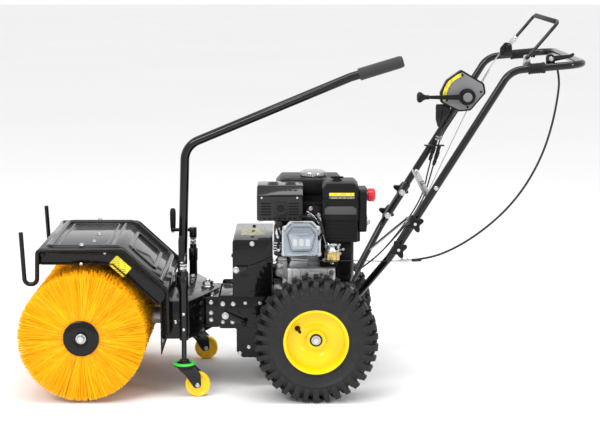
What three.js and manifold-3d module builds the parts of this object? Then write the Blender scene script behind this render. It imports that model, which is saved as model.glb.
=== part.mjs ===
// Walk-behind petrol power sweeper: a brush unit on a swivelling carriage, pushed by a two-wheeled chassis.
// Millimetres, +Z up, +X towards the operator's handlebar, -Y is the side of the engine's valve cover.
// The machine is drawn about the wheel axle, then moved so that the origin is the bottom centre of its bounding box.
import * as THREE from 'three';
import { mergeVertices } from 'three/addons/utils/BufferGeometryUtils.js';
import Module from 'manifold-3d';

// Driving dimensions. X is measured from the wheel axle, Y from the middle plane, Z from the ground.
const AXLE_X = 44;                       // the axle's place in front of the origin
const GAP = 0.3;                         // air left between pieces that touch
const TYRE = { radius: 165, width: 122, track: 238, hole: 80.4 };
const AXLE_RADIUS = 12.5;
const PLATE = { y: 115, thick: 4, top: 256, bottom: 83, front: -264, step: -216, rear: 105 };
const BRUSH = { x: -618, z: 177, radius: 170, half: 300, gap: 36, core: 19.5, cap: 47.5 };
const COVER = { front: -738, crest: -522, rear: -398, top: 405, foot: 292, half: 225.7, skin: 2.4 };
const PIVOT_X = -300;                    // the carriage swivels about this upright line
const TONGUE = { front: -324, half: 97, bottom: 163, top: 248 };
const CARRIAGE = { front: -411, half: 200, shoulder: -340, neck: -304, neckHalf: 112, bottom: 154, top: 257 };
const CASTER = { x: -353, y: 212.5, trail: 36, wheel: 33.5, width: 22 };
const BAR = { y: 276, radius: 10 };
const ENGINE_BASE = 256;

const COLOURS = {
  paint: { color: 0x1b1c1d, roughness: 0.35, metalness: 0.3 },
  rubber: { color: 0x1f1f20, roughness: 0.9, metalness: 0 },
  rim: { color: 0xf2dc1a, roughness: 0.3, metalness: 0.2 },
  bristle: { color: 0xffa312, roughness: 0.7, metalness: 0 },
  zinc: { color: 0xb9bcc0, roughness: 0.3, metalness: 1 },
  cast: { color: 0xb4b6b8, roughness: 0.45, metalness: 0.9 },
  brass: { color: 0xb89a4a, roughness: 0.3, metalness: 1 },
  plastic: { color: 0x18191a, roughness: 0.5, metalness: 0 },
  red: { color: 0xb3202a, roughness: 0.4, metalness: 0 },
  amber: { color: 0xe7a81c, roughness: 0.45, metalness: 0 },
  grey: { color: 0x3a3b3d, roughness: 0.6, metalness: 0 },
};

const wasm = await Module();
wasm.setup();

// ---- joining and cutting -------------------------------------------------

const weld = (geometry) => {
  const bare = new THREE.BufferGeometry();
  bare.setAttribute('position', geometry.getAttribute('position').clone());
  if (geometry.index) bare.setIndex(geometry.index.clone());
  const merged = mergeVertices(bare, 1e-3);
  const kept = [];
  const corner = merged.index.array;
  for (let i = 0; i < corner.length; i += 3) {
    const [a, b, c] = [corner[i], corner[i + 1], corner[i + 2]];
    if (a !== b && b !== c && c !== a) kept.push(a, b, c);
  }
  merged.setIndex(kept);
  return merged;
};

const toSolid = (geometry) => {
  const welded = weld(geometry);
  return new wasm.Manifold(new wasm.Mesh({
    numProp: 3,
    vertProperties: new Float32Array(welded.attributes.position.array),
    triVerts: new Uint32Array(welded.index.array),
  }));
};

const toGeometry = (solid) => {
  const { vertProperties, triVerts } = solid.getMesh();
  const geometry = new THREE.BufferGeometry();
  geometry.setAttribute('position', new THREE.BufferAttribute(vertProperties, 3));
  geometry.setIndex(new THREE.BufferAttribute(triVerts, 1));
  geometry.computeVertexNormals();
  return geometry;
};

const join = (...geometries) => toGeometry(geometries.map(toSolid).reduce((a, b) => a.add(b)));
const cut = (body, ...tools) => toGeometry(tools.map(toSolid).reduce((a, b) => a.subtract(b), toSolid(body)));

// ---- basic shapes ---------------------------------------------------------

const block = (x, y, z) => new THREE.BoxGeometry(x[1] - x[0], y[1] - y[0], z[1] - z[0])
  .translate((x[0] + x[1]) / 2, (y[0] + y[1]) / 2, (z[0] + z[1]) / 2);

// An outline in the XZ plane, given a thickness between two Y values.
const plateXZ = (points, y, holes = []) => {
  const shape = new THREE.Shape(points.map(([x, z]) => new THREE.Vector2(x, z)));
  for (const [x, z, radius] of holes) {
    shape.holes.push(new THREE.Path().absarc(x, z, radius, 0, 2 * Math.PI, true));
  }
  return new THREE.ExtrudeGeometry(shape, { depth: y[1] - y[0], bevelEnabled: false, curveSegments: 10 })
    .rotateX(Math.PI / 2).translate(0, y[1], 0);
};

// An outline in the XY plane, given a height between two Z values.
const plateXY = (points, z) => {
  const shape = new THREE.Shape(points.map(([x, y]) => new THREE.Vector2(x, y)));
  return new THREE.ExtrudeGeometry(shape, { depth: z[1] - z[0], bevelEnabled: false }).translate(0, 0, z[0]);
};

// A round bar from one point to another.
const bar = (from, to, radius, sides = 12) => {
  const [a, b] = [new THREE.Vector3(...from), new THREE.Vector3(...to)];
  const turn = new THREE.Quaternion().setFromUnitVectors(new THREE.Vector3(0, 1, 0), b.clone().sub(a).normalize());
  return new THREE.CylinderGeometry(radius, radius, a.distanceTo(b), sides)
    .applyQuaternion(turn).translate(...a.add(b).divideScalar(2).toArray());
};

// A turned piece: pairs of radius and height, about the Z axis by default.
const turned = (profile, sides, axis = 'z') => {
  const points = profile.map(([radius, along]) => new THREE.Vector2(radius, along));
  const solid = new THREE.LatheGeometry(points, sides);
  if (axis === 'z') solid.rotateX(Math.PI / 2);
  return solid;
};

// Points of a path with its corners rounded to the given radii, each arc in a few steps.
const roundedPath = (corners, steps = 5) => {
  const points = [];
  corners.forEach(([x, y, z, radius = 0], i) => {
    const here = new THREE.Vector3(x, y, z);
    if (!radius || i === 0 || i === corners.length - 1) {
      points.push(here);
      return;
    }
    const before = new THREE.Vector3(...corners[i - 1].slice(0, 3)).sub(here).normalize();
    const after = new THREE.Vector3(...corners[i + 1].slice(0, 3)).sub(here).normalize();
    const half = before.angleTo(after) / 2;
    const middle = before.clone().add(after).normalize();
    const centre = here.clone().addScaledVector(middle, radius / Math.sin(half));
    const start = here.clone().addScaledVector(before, radius / Math.tan(half)).sub(centre);
    const end = here.clone().addScaledVector(after, radius / Math.tan(half)).sub(centre);
    const sweep = start.angleTo(end);
    for (let k = 0; k <= steps; k += 1) {
      const a = Math.sin(sweep * (1 - k / steps)) / Math.sin(sweep);
      const b = Math.sin(sweep * (k / steps)) / Math.sin(sweep);
      points.push(centre.clone().addScaledVector(start, a).addScaledVector(end, b));
    }
  });
  return points;
};

// A curve that passes straight from point to point, so a tube along it keeps its corners.
class PointPath extends THREE.Curve {
  constructor(points) {
    super();
    this.points = points;
  }

  at(t) {
    return Math.min(Math.round(t * (this.points.length - 1)), this.points.length - 1);
  }

  getPointAt(t) {
    return this.points[this.at(t)].clone();
  }

  getSpacedPoints() {
    return this.points.map((p) => p.clone());
  }

  getTangentAt(t) {
    const i = this.at(t);
    const out = new THREE.Vector3();
    if (i < this.points.length - 1) out.add(this.points[i + 1].clone().sub(this.points[i]).normalize());
    if (i > 0) out.add(this.points[i].clone().sub(this.points[i - 1]).normalize());
    return out.normalize();
  }
}

const tube = (points, radius, sides = 10) => {
  const section = new THREE.Shape();
  for (let i = 0; i < sides; i += 1) {
    const angle = (i / sides) * 2 * Math.PI;
    const [u, v] = [radius * Math.cos(angle), radius * Math.sin(angle)];
    if (i) section.lineTo(u, v);
    else section.moveTo(u, v);
  }
  return new THREE.ExtrudeGeometry(section, { steps: points.length - 1, extrudePath: new PointPath(points) });
};

const piece = (parent, name, geometry, look) => {
  const mesh = new THREE.Mesh(geometry, new THREE.MeshStandardMaterial(COLOURS[look]));
  mesh.name = name;
  parent.add(mesh);
  return mesh;
};

const group = (parent, x = 0, y = 0, z = 0) => {
  const made = new THREE.Group();
  made.position.set(x, y, z);
  parent.add(made);
  return made;
};

const SIDES = [['left', 1], ['right', -1]];   // left is +Y, right is -Y
const mirrorY = ([along, y]) => [along, -y];

// ---- wheels and axle ------------------------------------------------------

// Pairs of radius and distance outwards. The rubber is a hollow ring, open towards the rim.
const tyreProfile = () => {
  const { radius, hole } = TYRE;
  const outside = [[hole, 49.6], [91, 50], [123, 61], [150, 61], [radius, 43]];
  const inside = [[radius - 15, 38], [143, 51], [118, 51], [hole, 40]];
  return [...outside, ...outside.map(mirrorY).reverse(), ...inside.map(mirrorY).reverse(), ...inside, outside[0]]
    .reverse();
};

const rimProfile = () => {
  const outline = [[12.8, -24], [24, -24], [28, 2], [45, 12], [64, 8], [76, -8], [76, -46], [82, -53], [86, -53],
    [86, -50], [80, -50], [80, 50], [86, 50], [86, 53], [82, 53], [76, 46], [72, 20], [45, 18], [28, 12], [26, 24],
    [12.8, 24]];
  return [...outline, outline[0]];
};

const wheel = (parent, name, side) => {
  const at = group(parent, 0, side * TYRE.track, TYRE.radius);
  if (side < 0) at.rotation.z = Math.PI;
  piece(at, `tyre_${name}`, turned(tyreProfile(), 32, 'y'), 'rubber');
  piece(at, `rim_${name}`, turned(rimProfile(), 20, 'y'), 'rim');
};

const axle = (parent) => {
  const end = TYRE.track + 24.4;
  const half = [[AXLE_RADIUS, end], [17, end], [17, end + 3], [11, end + 3], [11, end + 11], [0, end + 11]];
  const at = group(parent, 0, 0, TYRE.radius);
  piece(at, 'axle', turned([...half.map(mirrorY).reverse(), ...half], 16, 'y'), 'zinc');
};

// ---- chassis --------------------------------------------------------------

const sidePlate = (parent, name, side) => {
  const { y, thick, top, bottom, front, step, rear } = PLATE;
  const outline = [[front, top], [front, 164], [step, 164], [step, bottom + 17], [step + 16, bottom],
    [rear, bottom], [rear, top]];
  const inner = side > 0 ? [y - thick / 2, y + thick / 2] : [-y - thick / 2, -y + thick / 2];
  piece(parent, `side_plate_${name}`, plateXZ(outline, inner, [[0, TYRE.radius, 16]]), 'paint');
};

// The tongue reaches forward between the carriage's two plates and carries the swivel pin.
const swivelTongue = (parent) => {
  const { front, half, bottom, top } = TONGUE;
  const shell = block([front, -204], [-half, half], [bottom, top]);
  const hollow = block([front + 5, -190], [-half + 4, half - 4], [bottom + 5, top - 5]);
  const boss = bar([PIVOT_X, 0, bottom], [PIVOT_X, 0, top], 20, 16);
  const bore = bar([PIVOT_X, 0, bottom - 5], [PIVOT_X, 0, top + 5], 10.5, 16);
  const rails = [];
  for (const side of [1, -1]) {
    for (const z of [[171, 188], [222, 241]]) {
      const reach = [side * (half - 2), side * (PLATE.y - PLATE.thick / 2 - GAP)].sort((a, b) => a - b);
      rails.push(block([-260, -205], reach, z));
    }
  }
  piece(parent, 'swivel_tongue', cut(join(cut(shell, hollow), boss, ...rails), bore), 'paint');
};

const chassis = (parent) => {
  const inside = PLATE.y - PLATE.thick / 2 - GAP;
  for (const [name, side] of SIDES) sidePlate(parent, name, side);
  swivelTongue(parent);
  piece(parent, 'engine_deck', block([-117, 112], [-inside, inside], [PLATE.top - 6, PLATE.top]), 'paint');
  piece(parent, 'belly_plate', block([-196, 100], [-inside, inside], [PLATE.bottom + 1, PLATE.bottom + 5]), 'paint');
  const gearbox = join(block([-62, 58], [-64, 64], [112, 218]), block([-96, -50], [-34, 34], [140, 196]),
    bar([0, -72, TYRE.radius], [0, 72, TYRE.radius], 34, 18));
  const bore = bar([0, -80, TYRE.radius], [0, 80, TYRE.radius], 15, 16);
  piece(parent, 'transmission_case', cut(gearbox, bore), 'cast');
};

// A folded sheet cover over the drive belt, open underneath.
const beltCover = (parent) => {
  const [x, half, base, top] = [[-225, -118], 139, PLATE.top + GAP, 413];
  const outline = [[x[0], base], [x[0], top - 6], [x[0] + 6, top], [x[1] - 3, top], [x[1], top - 3], [x[1], base]];
  const shell = plateXZ(outline, [-half, half]);
  const hollow = block([x[0] + 3, x[1] - 3], [-half + 3, half - 3], [base - 1, top - 7]);
  piece(parent, 'belt_cover', cut(shell, hollow), 'paint');
};

// ---- engine ---------------------------------------------------------------

const engine = (parent) => {
  const base = ENGINE_BASE + GAP;
  const feet = block([-92, 58], [-96, 96], [base, base + 14]);
  const sump = block([-80, 54], [-100, 100], [base + 8, base + 74]);
  const drum = bar([-72, 0, 366], [58, 0, 366], 84, 20);
  const barrel = block([-72, -4], [-165, -40], [372, 460]);
  const shaft = bar([-112, 0, 366], [-60, 0, 366], 20, 14);
  piece(parent, 'crankcase', join(feet, sump, drum, barrel, shaft), 'cast');
  const lidEdge = (grow) => plateXZ([[-87 - grow, 374], [9 + grow, 374], [9 + grow, 448], [-10 + grow, 468],
    [-68 - grow, 468], [-87 - grow, 448]], grow ? [-172, -165.4] : [-190, -170]);
  piece(parent, 'valve_cover', join(lidEdge(0), lidEdge(4)), 'cast');
  const box = plateXZ([[-160, 461], [-160, 542], [-149, 555], [-44, 555], [-33, 542], [-33, 461]], [-118, -3]);
  const inner = block([-156, -37], [-114, -7], [440, 546]);
  const pipe = bar([-96, -98, 502], [-96, -126, 502], 8, 12);
  piece(parent, 'muffler', join(cut(box, inner), pipe), 'paint');
  fuelTank(parent);
  airCleaner(parent);
  flywheelEnd(parent);
};

const TANK = { cap: [-6, 72], capBase: 566 };

const fuelTank = (parent) => {
  const outline = [[-112, 484], [-112, 538], [-92, 558], [60, 558], [80, 538], [80, 484], [66, 474], [-98, 474]];
  const neck = bar([TANK.cap[0], TANK.cap[1], 550], [TANK.cap[0], TANK.cap[1], TANK.capBase - GAP], 20, 16);
  piece(parent, 'fuel_tank', join(plateXZ(outline, [4, 168]), neck), 'plastic');
  const cap = turned([[0, 0], [35, 0], [37, 3], [37, 10], [32, 15], [9, 15], [9, 17], [0, 17]], 24);
  piece(group(parent, ...TANK.cap, TANK.capBase), 'fuel_cap', cap, 'zinc');
};

const airCleaner = (parent) => {
  const lid = plateXZ([[20, 462], [17, 474], [17, 552], [29, 566], [104, 566], [116, 554], [116, 462]], [-132, -8]);
  const skirtPanel = block([24, 114], [-128, -100], [404, 466]);
  piece(parent, 'air_cleaner', join(lid, skirtPanel), 'plastic');
  const body = block([30, 58], [-136, -104], [372, 403.5]);
  const bowl = bar([44, -146, 352], [44, -146, 392], 19, 16);
  const elbow = bar([44, -146, 380], [44, -104, 388], 12, 12);
  piece(parent, 'carburettor', join(body, bowl, elbow), 'brass');
};

const KNOB = { x: 140, y: -78, z: 527 };

// The starter housing and the control box stand at the operator's end of the engine.
const flywheelEnd = (parent) => {
  const housing = join(bar([59, 0, 366], [104, 0, 366], 94, 24), block([62, 100], [-70, 70], [290, 330]));
  const inside = bar([50, 0, 366], [98, 0, 366], 84.6, 24);
  piece(parent, 'flywheel_housing', cut(housing, inside), 'plastic');
  const panel = join(block([116.5, 138], [-120, -24], [430, 546]), block([104.5, 122], [-72, -30], [396, 452]));
  piece(parent, 'control_panel', panel, 'plastic');
  const knob = turned([[0, 0], [15, 0], [17, 4], [17, 17], [13, 22], [0, 22]], 16);
  const place = group(parent, KNOB.x, KNOB.y, KNOB.z);
  place.rotation.y = Math.PI / 2;
  piece(place, 'choke_knob', knob, 'red');
};

// ---- brush unit -----------------------------------------------------------

const brush = (parent) => {
  const at = group(parent, BRUSH.x, 0, BRUSH.z);
  for (const [name, side] of SIDES) {
    const ends = [BRUSH.gap, BRUSH.half - 5];
    const profile = [[BRUSH.core, ends[0]], [BRUSH.radius - 6, ends[0]], [BRUSH.radius, ends[0] + 14],
      [BRUSH.radius, ends[1] - 14], [BRUSH.radius - 6, ends[1]], [BRUSH.core, ends[1]], [BRUSH.core, ends[0]]];
    const bristles = turned(profile, 32, 'y');
    const half = group(at);
    if (side < 0) half.rotation.z = Math.PI;
    piece(half, `brush_${name}`, bristles, 'bristle');
  }
  // The drive shaft: a thin neck in the gearbox, a core tube in each brush half, and a domed cap on each end.
  const { core, gap, half: end, cap } = BRUSH;
  const arm = [[15, gap], [core - GAP, gap], [core - GAP, end - 5 + GAP], [cap, end - 5 + GAP],
    [cap, end - 2], [40, end + 2], [14, end + 4], [14, end + 7], [11, end + 7], [11, end + 14], [0, end + 14]];
  piece(at, 'brush_shaft', turned([...arm.map(mirrorY).reverse(), ...arm], 16, 'y'), 'paint');
};

const brushGearbox = (parent) => {
  const housing = bar([BRUSH.x, 1 - BRUSH.gap, BRUSH.z], [BRUSH.x, BRUSH.gap - 1, BRUSH.z], 70, 20);
  const drive = bar([BRUSH.x + 40, 0, BRUSH.z], [-415.5, 0, BRUSH.z], 24, 14);
  const flange = bar([-423, 0, BRUSH.z], [-415.5, 0, BRUSH.z], 32, 14);
  const bore = bar([BRUSH.x, -40, BRUSH.z], [BRUSH.x, 40, BRUSH.z], 16, 16);
  piece(parent, 'brush_gearbox', cut(join(housing, drive, flange), bore), 'cast');
};

// The sheet hood: top, slope, side flanges with a turned-out lip, and three pressed ribs.
const brushCover = (parent) => {
  const { front, crest, rear, top, foot, half, skin } = COVER;
  const flange = [[front, 362], [front, top - 4], [front + 4, top], [crest, top], [rear, foot], [rear, 272],
    [-420, 251], [-540, 362]];
  const hollow = [[front + skin, 300], [front + skin, top - skin - 1], [front + skin + 1, top - skin],
    [crest - 1.3, top - skin], [rear - skin, foot - 1.6], [rear - skin, 200]];
  const ribLine = (y) => tube(roundedPath([[-712, y, top], [crest, y, top, 20], [-412, y, foot + 13]], 2), 9, 8);
  const ribs = [ribLine(207), ribLine(-207), bar([-712, -207, top], [-712, 207, top], 9, 8),
    bar([-420, -207, foot + 20], [-420, 207, foot + 20], 9, 8)];
  const lips = [];
  for (const side of [1, -1]) {
    const y = [side * (half - 1), side * (half + 6)].sort((a, b) => a - b);
    lips.push(plateXZ([[-728, 362], [-540, 362], [-420, 251], [-416, 254.2], [-538.5, 365], [-728, 365]], y));
  }
  const outer = join(plateXZ(flange, [-half, half]), ...ribs);
  const shell = cut(outer, plateXZ(hollow, [skin - half, half - skin]));
  piece(parent, 'brush_cover', join(shell, ...lips), 'paint');
};

const ROD_Y = 232;

const accessoryRod = (parent, name, side) => {
  const y = side * ROD_Y;
  const path = roundedPath([[-780, y, 450], [-772.5, y, 310, 15], [-740, y, 310, 15], [-737.5, y, 401, 12],
    [-513, y, 401, 16], [-395, y, 292, 16], [-394, y, 172, 14], [-394, side * (CARRIAGE.half + GAP), 172]], 3);
  piece(parent, `accessory_rod_${name}`, tube(path, 6, 8), 'paint');
};

// ---- swivelling carriage --------------------------------------------------

const mirrored = (points) => [...points, ...points.map(mirrorY).reverse()];

const carriageFrame = (parent) => {
  const { front, half, shoulder, neck, neckHalf, bottom, top } = CARRIAGE;
  const plan = mirrored([[front, half], [shoulder, half], [neck, neckHalf], [PIVOT_X + 26, 30], [PIVOT_X + 34, 12]]);
  const room = mirrored([[front + 5, half - 4], [shoulder - 2, half - 4], [neck - 3, neckHalf - 6], [-200, neckHalf - 6]]);
  const box = cut(plateXY(plan, [bottom, top]), plateXY(room, [bottom + 4, top - 4.5]));
  const sleeve = bar([-370, 0, top - 2], [-370, 0, 300], 16, 16);
  const sleeveBore = bar([-370, 0, top + 2], [-370, 0, 310], 12.9, 16);
  const pinBore = bar([PIVOT_X, 0, bottom - 5], [PIVOT_X, 0, top + 5], 10.5, 16);
  piece(parent, 'carriage_frame', cut(join(box, sleeve), sleeveBore, pinBore), 'paint');
  piece(parent, 'rear_skirt', block([-415, -411 - GAP], [-222, 222], [115, 290]), 'paint');
  const pin = turned([[0, -112], [15, -112], [15, -103.5], [10, -103.5], [10, GAP], [18, GAP], [18, 4], [14, 4],
    [14, 17], [7, 17], [7, 22], [0, 22]], 16);
  piece(group(parent, PIVOT_X, 0, top), 'swivel_pin', pin, 'zinc');
};

const swivelLever = (parent) => {
  const [kneeX, kneeZ] = [-359, 652];
  const slope = Math.atan2(37, 121);
  const grip = { x: 119, z: 848, length: 127 };
  const along = (s) => [grip.x + s * Math.cos(slope), 0, grip.z + s * Math.sin(slope)];
  const path = roundedPath([[-370, 0, CARRIAGE.top + 2.5], [-370, 0, 305], [kneeX, 0, kneeZ, 60], [...along(-25), 90],
    along(grip.length - 12)], 5);
  piece(parent, 'swivel_lever', tube(path, 12.5, 12), 'paint');
  const sleeve = turned([[13.2, 0], [15.5, 0], [17, 4], [17, grip.length - 6], [13, grip.length], [0, grip.length],
    [0, grip.length - 8], [13.2, grip.length - 8], [13.2, 0]], 14);
  const place = group(parent, ...along(0));
  place.rotation.y = Math.PI / 2 - slope;
  piece(place, 'swivel_lever_grip', sleeve, 'grey');
};

// One caster: a post on the carriage, a stem that telescopes in it, a crank screw, and a swivelling fork and wheel.
const caster = (parent, name, side, crankTurn) => {
  const at = group(parent, CASTER.x, side * CASTER.y, 0);
  const post = turned([[7.1, 154], [12, 154], [12, 328], [10, 328], [10, 342], [5.4, 342], [5.4, 322], [7.1, 322],
    [7.1, 154]], 14);
  const tab = block([-14, 14], side > 0 ? [CARRIAGE.half + GAP - CASTER.y, -8] : [8, CASTER.y - CARRIAGE.half - GAP],
    [170, 240]);
  const stemRoom = bar([0, 0, 150], [0, 0, 322], 7.1, 14);
  piece(at, `caster_post_${name}`, join(post, cut(tab, stemRoom)), 'paint');
  piece(at, `caster_stem_${name}`, turned([[0, 96], [13, 96], [13, 101], [6.7, 101], [6.7, 285], [5.4, 285],
    [5.4, 130], [0, 130]], 12), 'zinc');
  const crank = group(at, 0, 0, 0);
  crank.rotation.z = crankTurn;
  const screw = bar([0, 0, 170], [0, 0, 362], 5, 10);
  const hub = bar([0, 0, 358], [0, 0, 390], 11, 12);
  const arm = block([-6, 64], [-7, 7], [378, 387]);
  const grip = bar([58, 0, 380], [58, 0, 446], 8.5, 12);
  piece(crank, `height_crank_${name}`, join(screw, hub, arm, grip), 'paint');
  const { trail, wheel: radius, width } = CASTER;
  const dish = turned([[0, 76], [12, 76], [20, 80], [29, 84], [29, 90], [16, 95.7], [0, 95.7]], 18);
  const legs = [];
  for (const y of [-1, 1]) {
    const reach = [y * (width / 2 + 3), y * (width / 2 + 6)].sort((a, b) => a - b);
    legs.push(plateXZ([[-16, 86], [22, 86], [44, 62], [46, 28], [28, 24], [4, 60], [-16, 78]], reach));
  }
  const pin = bar([trail, -width / 2 - 8, radius], [trail, width / 2 + 8, radius], 4, 10);
  piece(at, `caster_fork_${name}`, join(dish, ...legs, pin), 'paint');
  const tread = turned([[4.4, -11], [12, -11], [14, -8.5], [26, -8.5], [28, -11], [31, -11], [radius, -6],
    [radius, 6], [31, 11], [28, 11], [26, 8.5], [14, 8.5], [12, 11], [4.4, 11], [4.4, -11]], 16, 'y');
  piece(group(at, trail, 0, radius), `caster_wheel_${name}`, tread, 'amber');
};

// ---- handlebar ------------------------------------------------------------

const handlebar = (parent) => {
  const { y, radius } = BAR;
  const bow = 58;
  const side = (s) => [[207, s * y, 408.2], [500, s * y, 879.3, 62], [690, s * y, 896, 50]];
  const corners = [...side(-1), ...side(1).reverse()];
  piece(parent, 'handlebar', join(tube(roundedPath(corners, 5), radius, 10), ...clutchBracket()), 'paint');
  const slope = THREE.MathUtils.degToRad(bow);
  const alongBar = (s) => [207 + s * Math.cos(slope), 408.2 + s * Math.sin(slope)];
  for (const [name, s] of SIDES) {
    const mounting = PLATE.y + PLATE.thick / 2 + 10.5;
    const inner = y - radius - 10.5;
    const [sx, sz] = alongBar(-24);
    const [ex, ez] = alongBar(124);
    const path = roundedPath([[70, s * mounting, 236], [106, s * mounting, 250, 20], [sx, s * inner, sz, 40],
      [ex, s * inner, ez]], 4);
    const foot = block([52, 84], [s * (mounting - 10.2), s * (mounting + 2)].sort((a, b) => a - b), [222, 250]);
    piece(parent, `handle_bracket_${name}`, join(tube(path, 10, 10), foot), 'paint');
    [[213, 418], [255, 486]].forEach(([x, z], i) => starKnob(parent, `clamp_knob_${name}_${i + 1}`, x, s, z));
  }
  piece(parent, 'cross_brace', plateXZ([[281, 550], [285, 557], [305, 544.5], [301, 537.5]],
    [-(y - radius - 12), y - radius - 12]), 'paint');
};

const starKnob = (parent, name, x, side, z) => {
  const at = group(parent, x, side * (BAR.y + BAR.radius + GAP), z);
  at.rotation.x = side > 0 ? -Math.PI / 2 : Math.PI / 2;
  const hub = turned([[0, 0], [10, 0], [10, 12], [9, 24], [0, 24]], 12);
  const star = new THREE.Shape();
  for (let i = 0; i < 16; i += 1) {
    const angle = (i / 16) * 2 * Math.PI;
    const r = i % 4 === 0 ? 24 : i % 4 === 2 ? 15 : 20;
    if (i) star.lineTo(r * Math.cos(angle), r * Math.sin(angle));
    else star.moveTo(r * Math.cos(angle), r * Math.sin(angle));
  }
  const head = new THREE.ExtrudeGeometry(star, { depth: 16, bevelEnabled: false }).translate(0, 0, 22);
  piece(at, name, join(hub, head), 'plastic');
};

// ---- controls on the handlebar ---------------------------------------------

const BAIL = { x: 544, z: 898, near: -258, far: 190 };

// The bail is one bent rod with short feet that turn in the handlebar's brackets.
const safetyBail = (parent) => {
  const { x, z, near, far } = BAIL;
  const [top, foot] = [z + 104, z + 12];
  const path = roundedPath([[x, near + 12, foot], [x, near, foot, 5], [x + 78, near, top, 14],
    [x + 78, far, top, 14], [x, far, foot, 5], [x, far - 12, foot]], 4);
  piece(parent, 'safety_bail', tube(path, 4.5, 8), 'paint');
};

const SELECTOR = { x: 437.7, y: 226, z: 767.6 };

const selector = (parent) => {
  const { x, y, z } = SELECTOR;
  const face = [[x - 76, z - 17], [x - 77, z + 11], [x - 60, z + 46], [x - 17, z + 77], [x + 49, z + 38],
    [x + 54, z + 11], [x + 11, z - 40], [x - 23, z - 43]];
  const box = plateXZ(face, [y, y + 34]);
  const boss = bar([x, y - 12, z], [x, y + 1, z], 24, 18);
  const saddle = plateXZ([[x - 29, z - 21], [x + 2, z + 29], [x + 15, z + 21], [x - 16, z - 29]], [y + 33, y + 39.5]);
  piece(parent, 'selector_plate', join(box, boss, saddle), 'plastic');
  const ring = turned([[0, 0], [17, 0], [21, 3], [21, 13], [0, 13]], 18);
  const arm = block([-112, -6], [-6, 6], [4, 12]);
  const stalk = bar([-112, 0, 8], [-124, 0, 8], 5, 10);
  const knob = bar([-146, 0, 8], [-122, 0, 8], 13, 14);
  const place = group(parent, x, y - 12 - GAP, z);
  place.rotation.x = Math.PI / 2;
  piece(place, 'gear_lever', join(ring, arm, stalk, knob), 'plastic');
};

// The brush clutch lever turns between two ears on the near grip, and its cable runs down to the belt cover.
const CLUTCH_LEVER = { x: 606, y: -252, z: 908, ear: 3.6, slot: 4.4 };

const clutchBracket = () => {
  const { x, y, z, ear, slot } = CLUTCH_LEVER;
  const base = block([x - 14, x + 12], [-BAR.y, y + slot + ear], [z - 19, z - 10]);
  const ears = [y - slot - ear, y + slot].map((from) => block([x - 12, x + 10], [from, from + ear], [z - 12, z + 12]));
  return [base, ...ears];
};

const clutchLever = (parent) => {
  const { x, y, z } = CLUTCH_LEVER;
  const blade = plateXZ([[-8, -7], [8, -7], [54, 3], [62, 11], [58, 16], [48, 11], [8, 8], [-6, 9]], [-3.6, 3.6]);
  piece(group(parent, x, y, z), 'brush_clutch_lever', blade, 'grey');
};

// The cable's route, from the lever's bracket to the clutch arm.
const CABLE = [[622.3, -247, 893], [628, -247, 862], [629, -250, 838], [614, -257, 746], [586, -264, 658],
  [541, -268, 574], [482, -271, 503], [399, -274, 437], [325, -276, 399], [265, -276, 385], [200, -273, 380],
  [91, -252, 377], [-16, -216, 370], [-71, -188, 365], [-118, -162, 358], [-150, -152, 348], [-180, -149, 340]];

const clutchCable = (parent) => {
  const route = new THREE.CatmullRomCurve3(CABLE.map((p) => new THREE.Vector3(...p)), false, 'centripetal');
  piece(parent, 'brush_clutch_cable', tube(route.getSpacedPoints(54), 2.8, 8), 'plastic');
};

const CLUTCH_ARM = { x: -215.4, z: 331.6 };

const clutchArm = (parent) => {
  const place = group(parent, CLUTCH_ARM.x, -139 - GAP, CLUTCH_ARM.z);
  const blade = plateXZ([[-9, -7], [-2, -10], [9, -7], [32, 0], [32, 9], [8, 10], [-7, 8]], [-8, -4]);
  const boss = bar([0, -14, 0], [0, 0, 0], 8, 12);
  piece(place, 'clutch_arm', join(blade, boss), 'zinc');
};

const LOCK = { x: -246, z: 201 };

const swivelLock = (parent) => {
  const place = group(parent, LOCK.x, -(PLATE.y + PLATE.thick / 2 + GAP), LOCK.z);
  const blade = plateXZ([[-10, -10], [12, -12], [52, -28], [58, -22], [50, -12], [12, 6], [-6, 10]], [-10, -5]);
  const boss = bar([0, -16, 0], [0, 0, 0], 9, 12);
  const grip = bar([52, -5, -20], [52, -34, -20], 6, 10);
  piece(place, 'swivel_lock_lever', join(blade, boss, grip), 'paint');
};

const machine = new THREE.Group();
machine.position.x = AXLE_X;

for (const [name, side] of SIDES) wheel(machine, name, side);
axle(machine);
chassis(machine);
beltCover(machine);
engine(machine);
brush(machine);
brushGearbox(machine);
brushCover(machine);
carriageFrame(machine);
swivelLever(machine);
for (const [name, side] of SIDES) {
  accessoryRod(machine, name, side);
  caster(machine, name, side, side > 0 ? Math.PI : -Math.PI / 2);
}
handlebar(machine);
safetyBail(machine);
selector(machine);
clutchLever(machine);
clutchCable(machine);
clutchArm(machine);
swivelLock(machine);

export default machine;
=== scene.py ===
"""Walk-behind power sweeper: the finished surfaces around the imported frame.

Lengths are in millimetres from the wheel axle (X), the middle plane (Y) and the ground (Z), and the
shape builder turns them into metres in the frame.
"""

import math

import bmesh
import bpy
import numpy as np
from mathutils import Matrix, Vector


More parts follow.
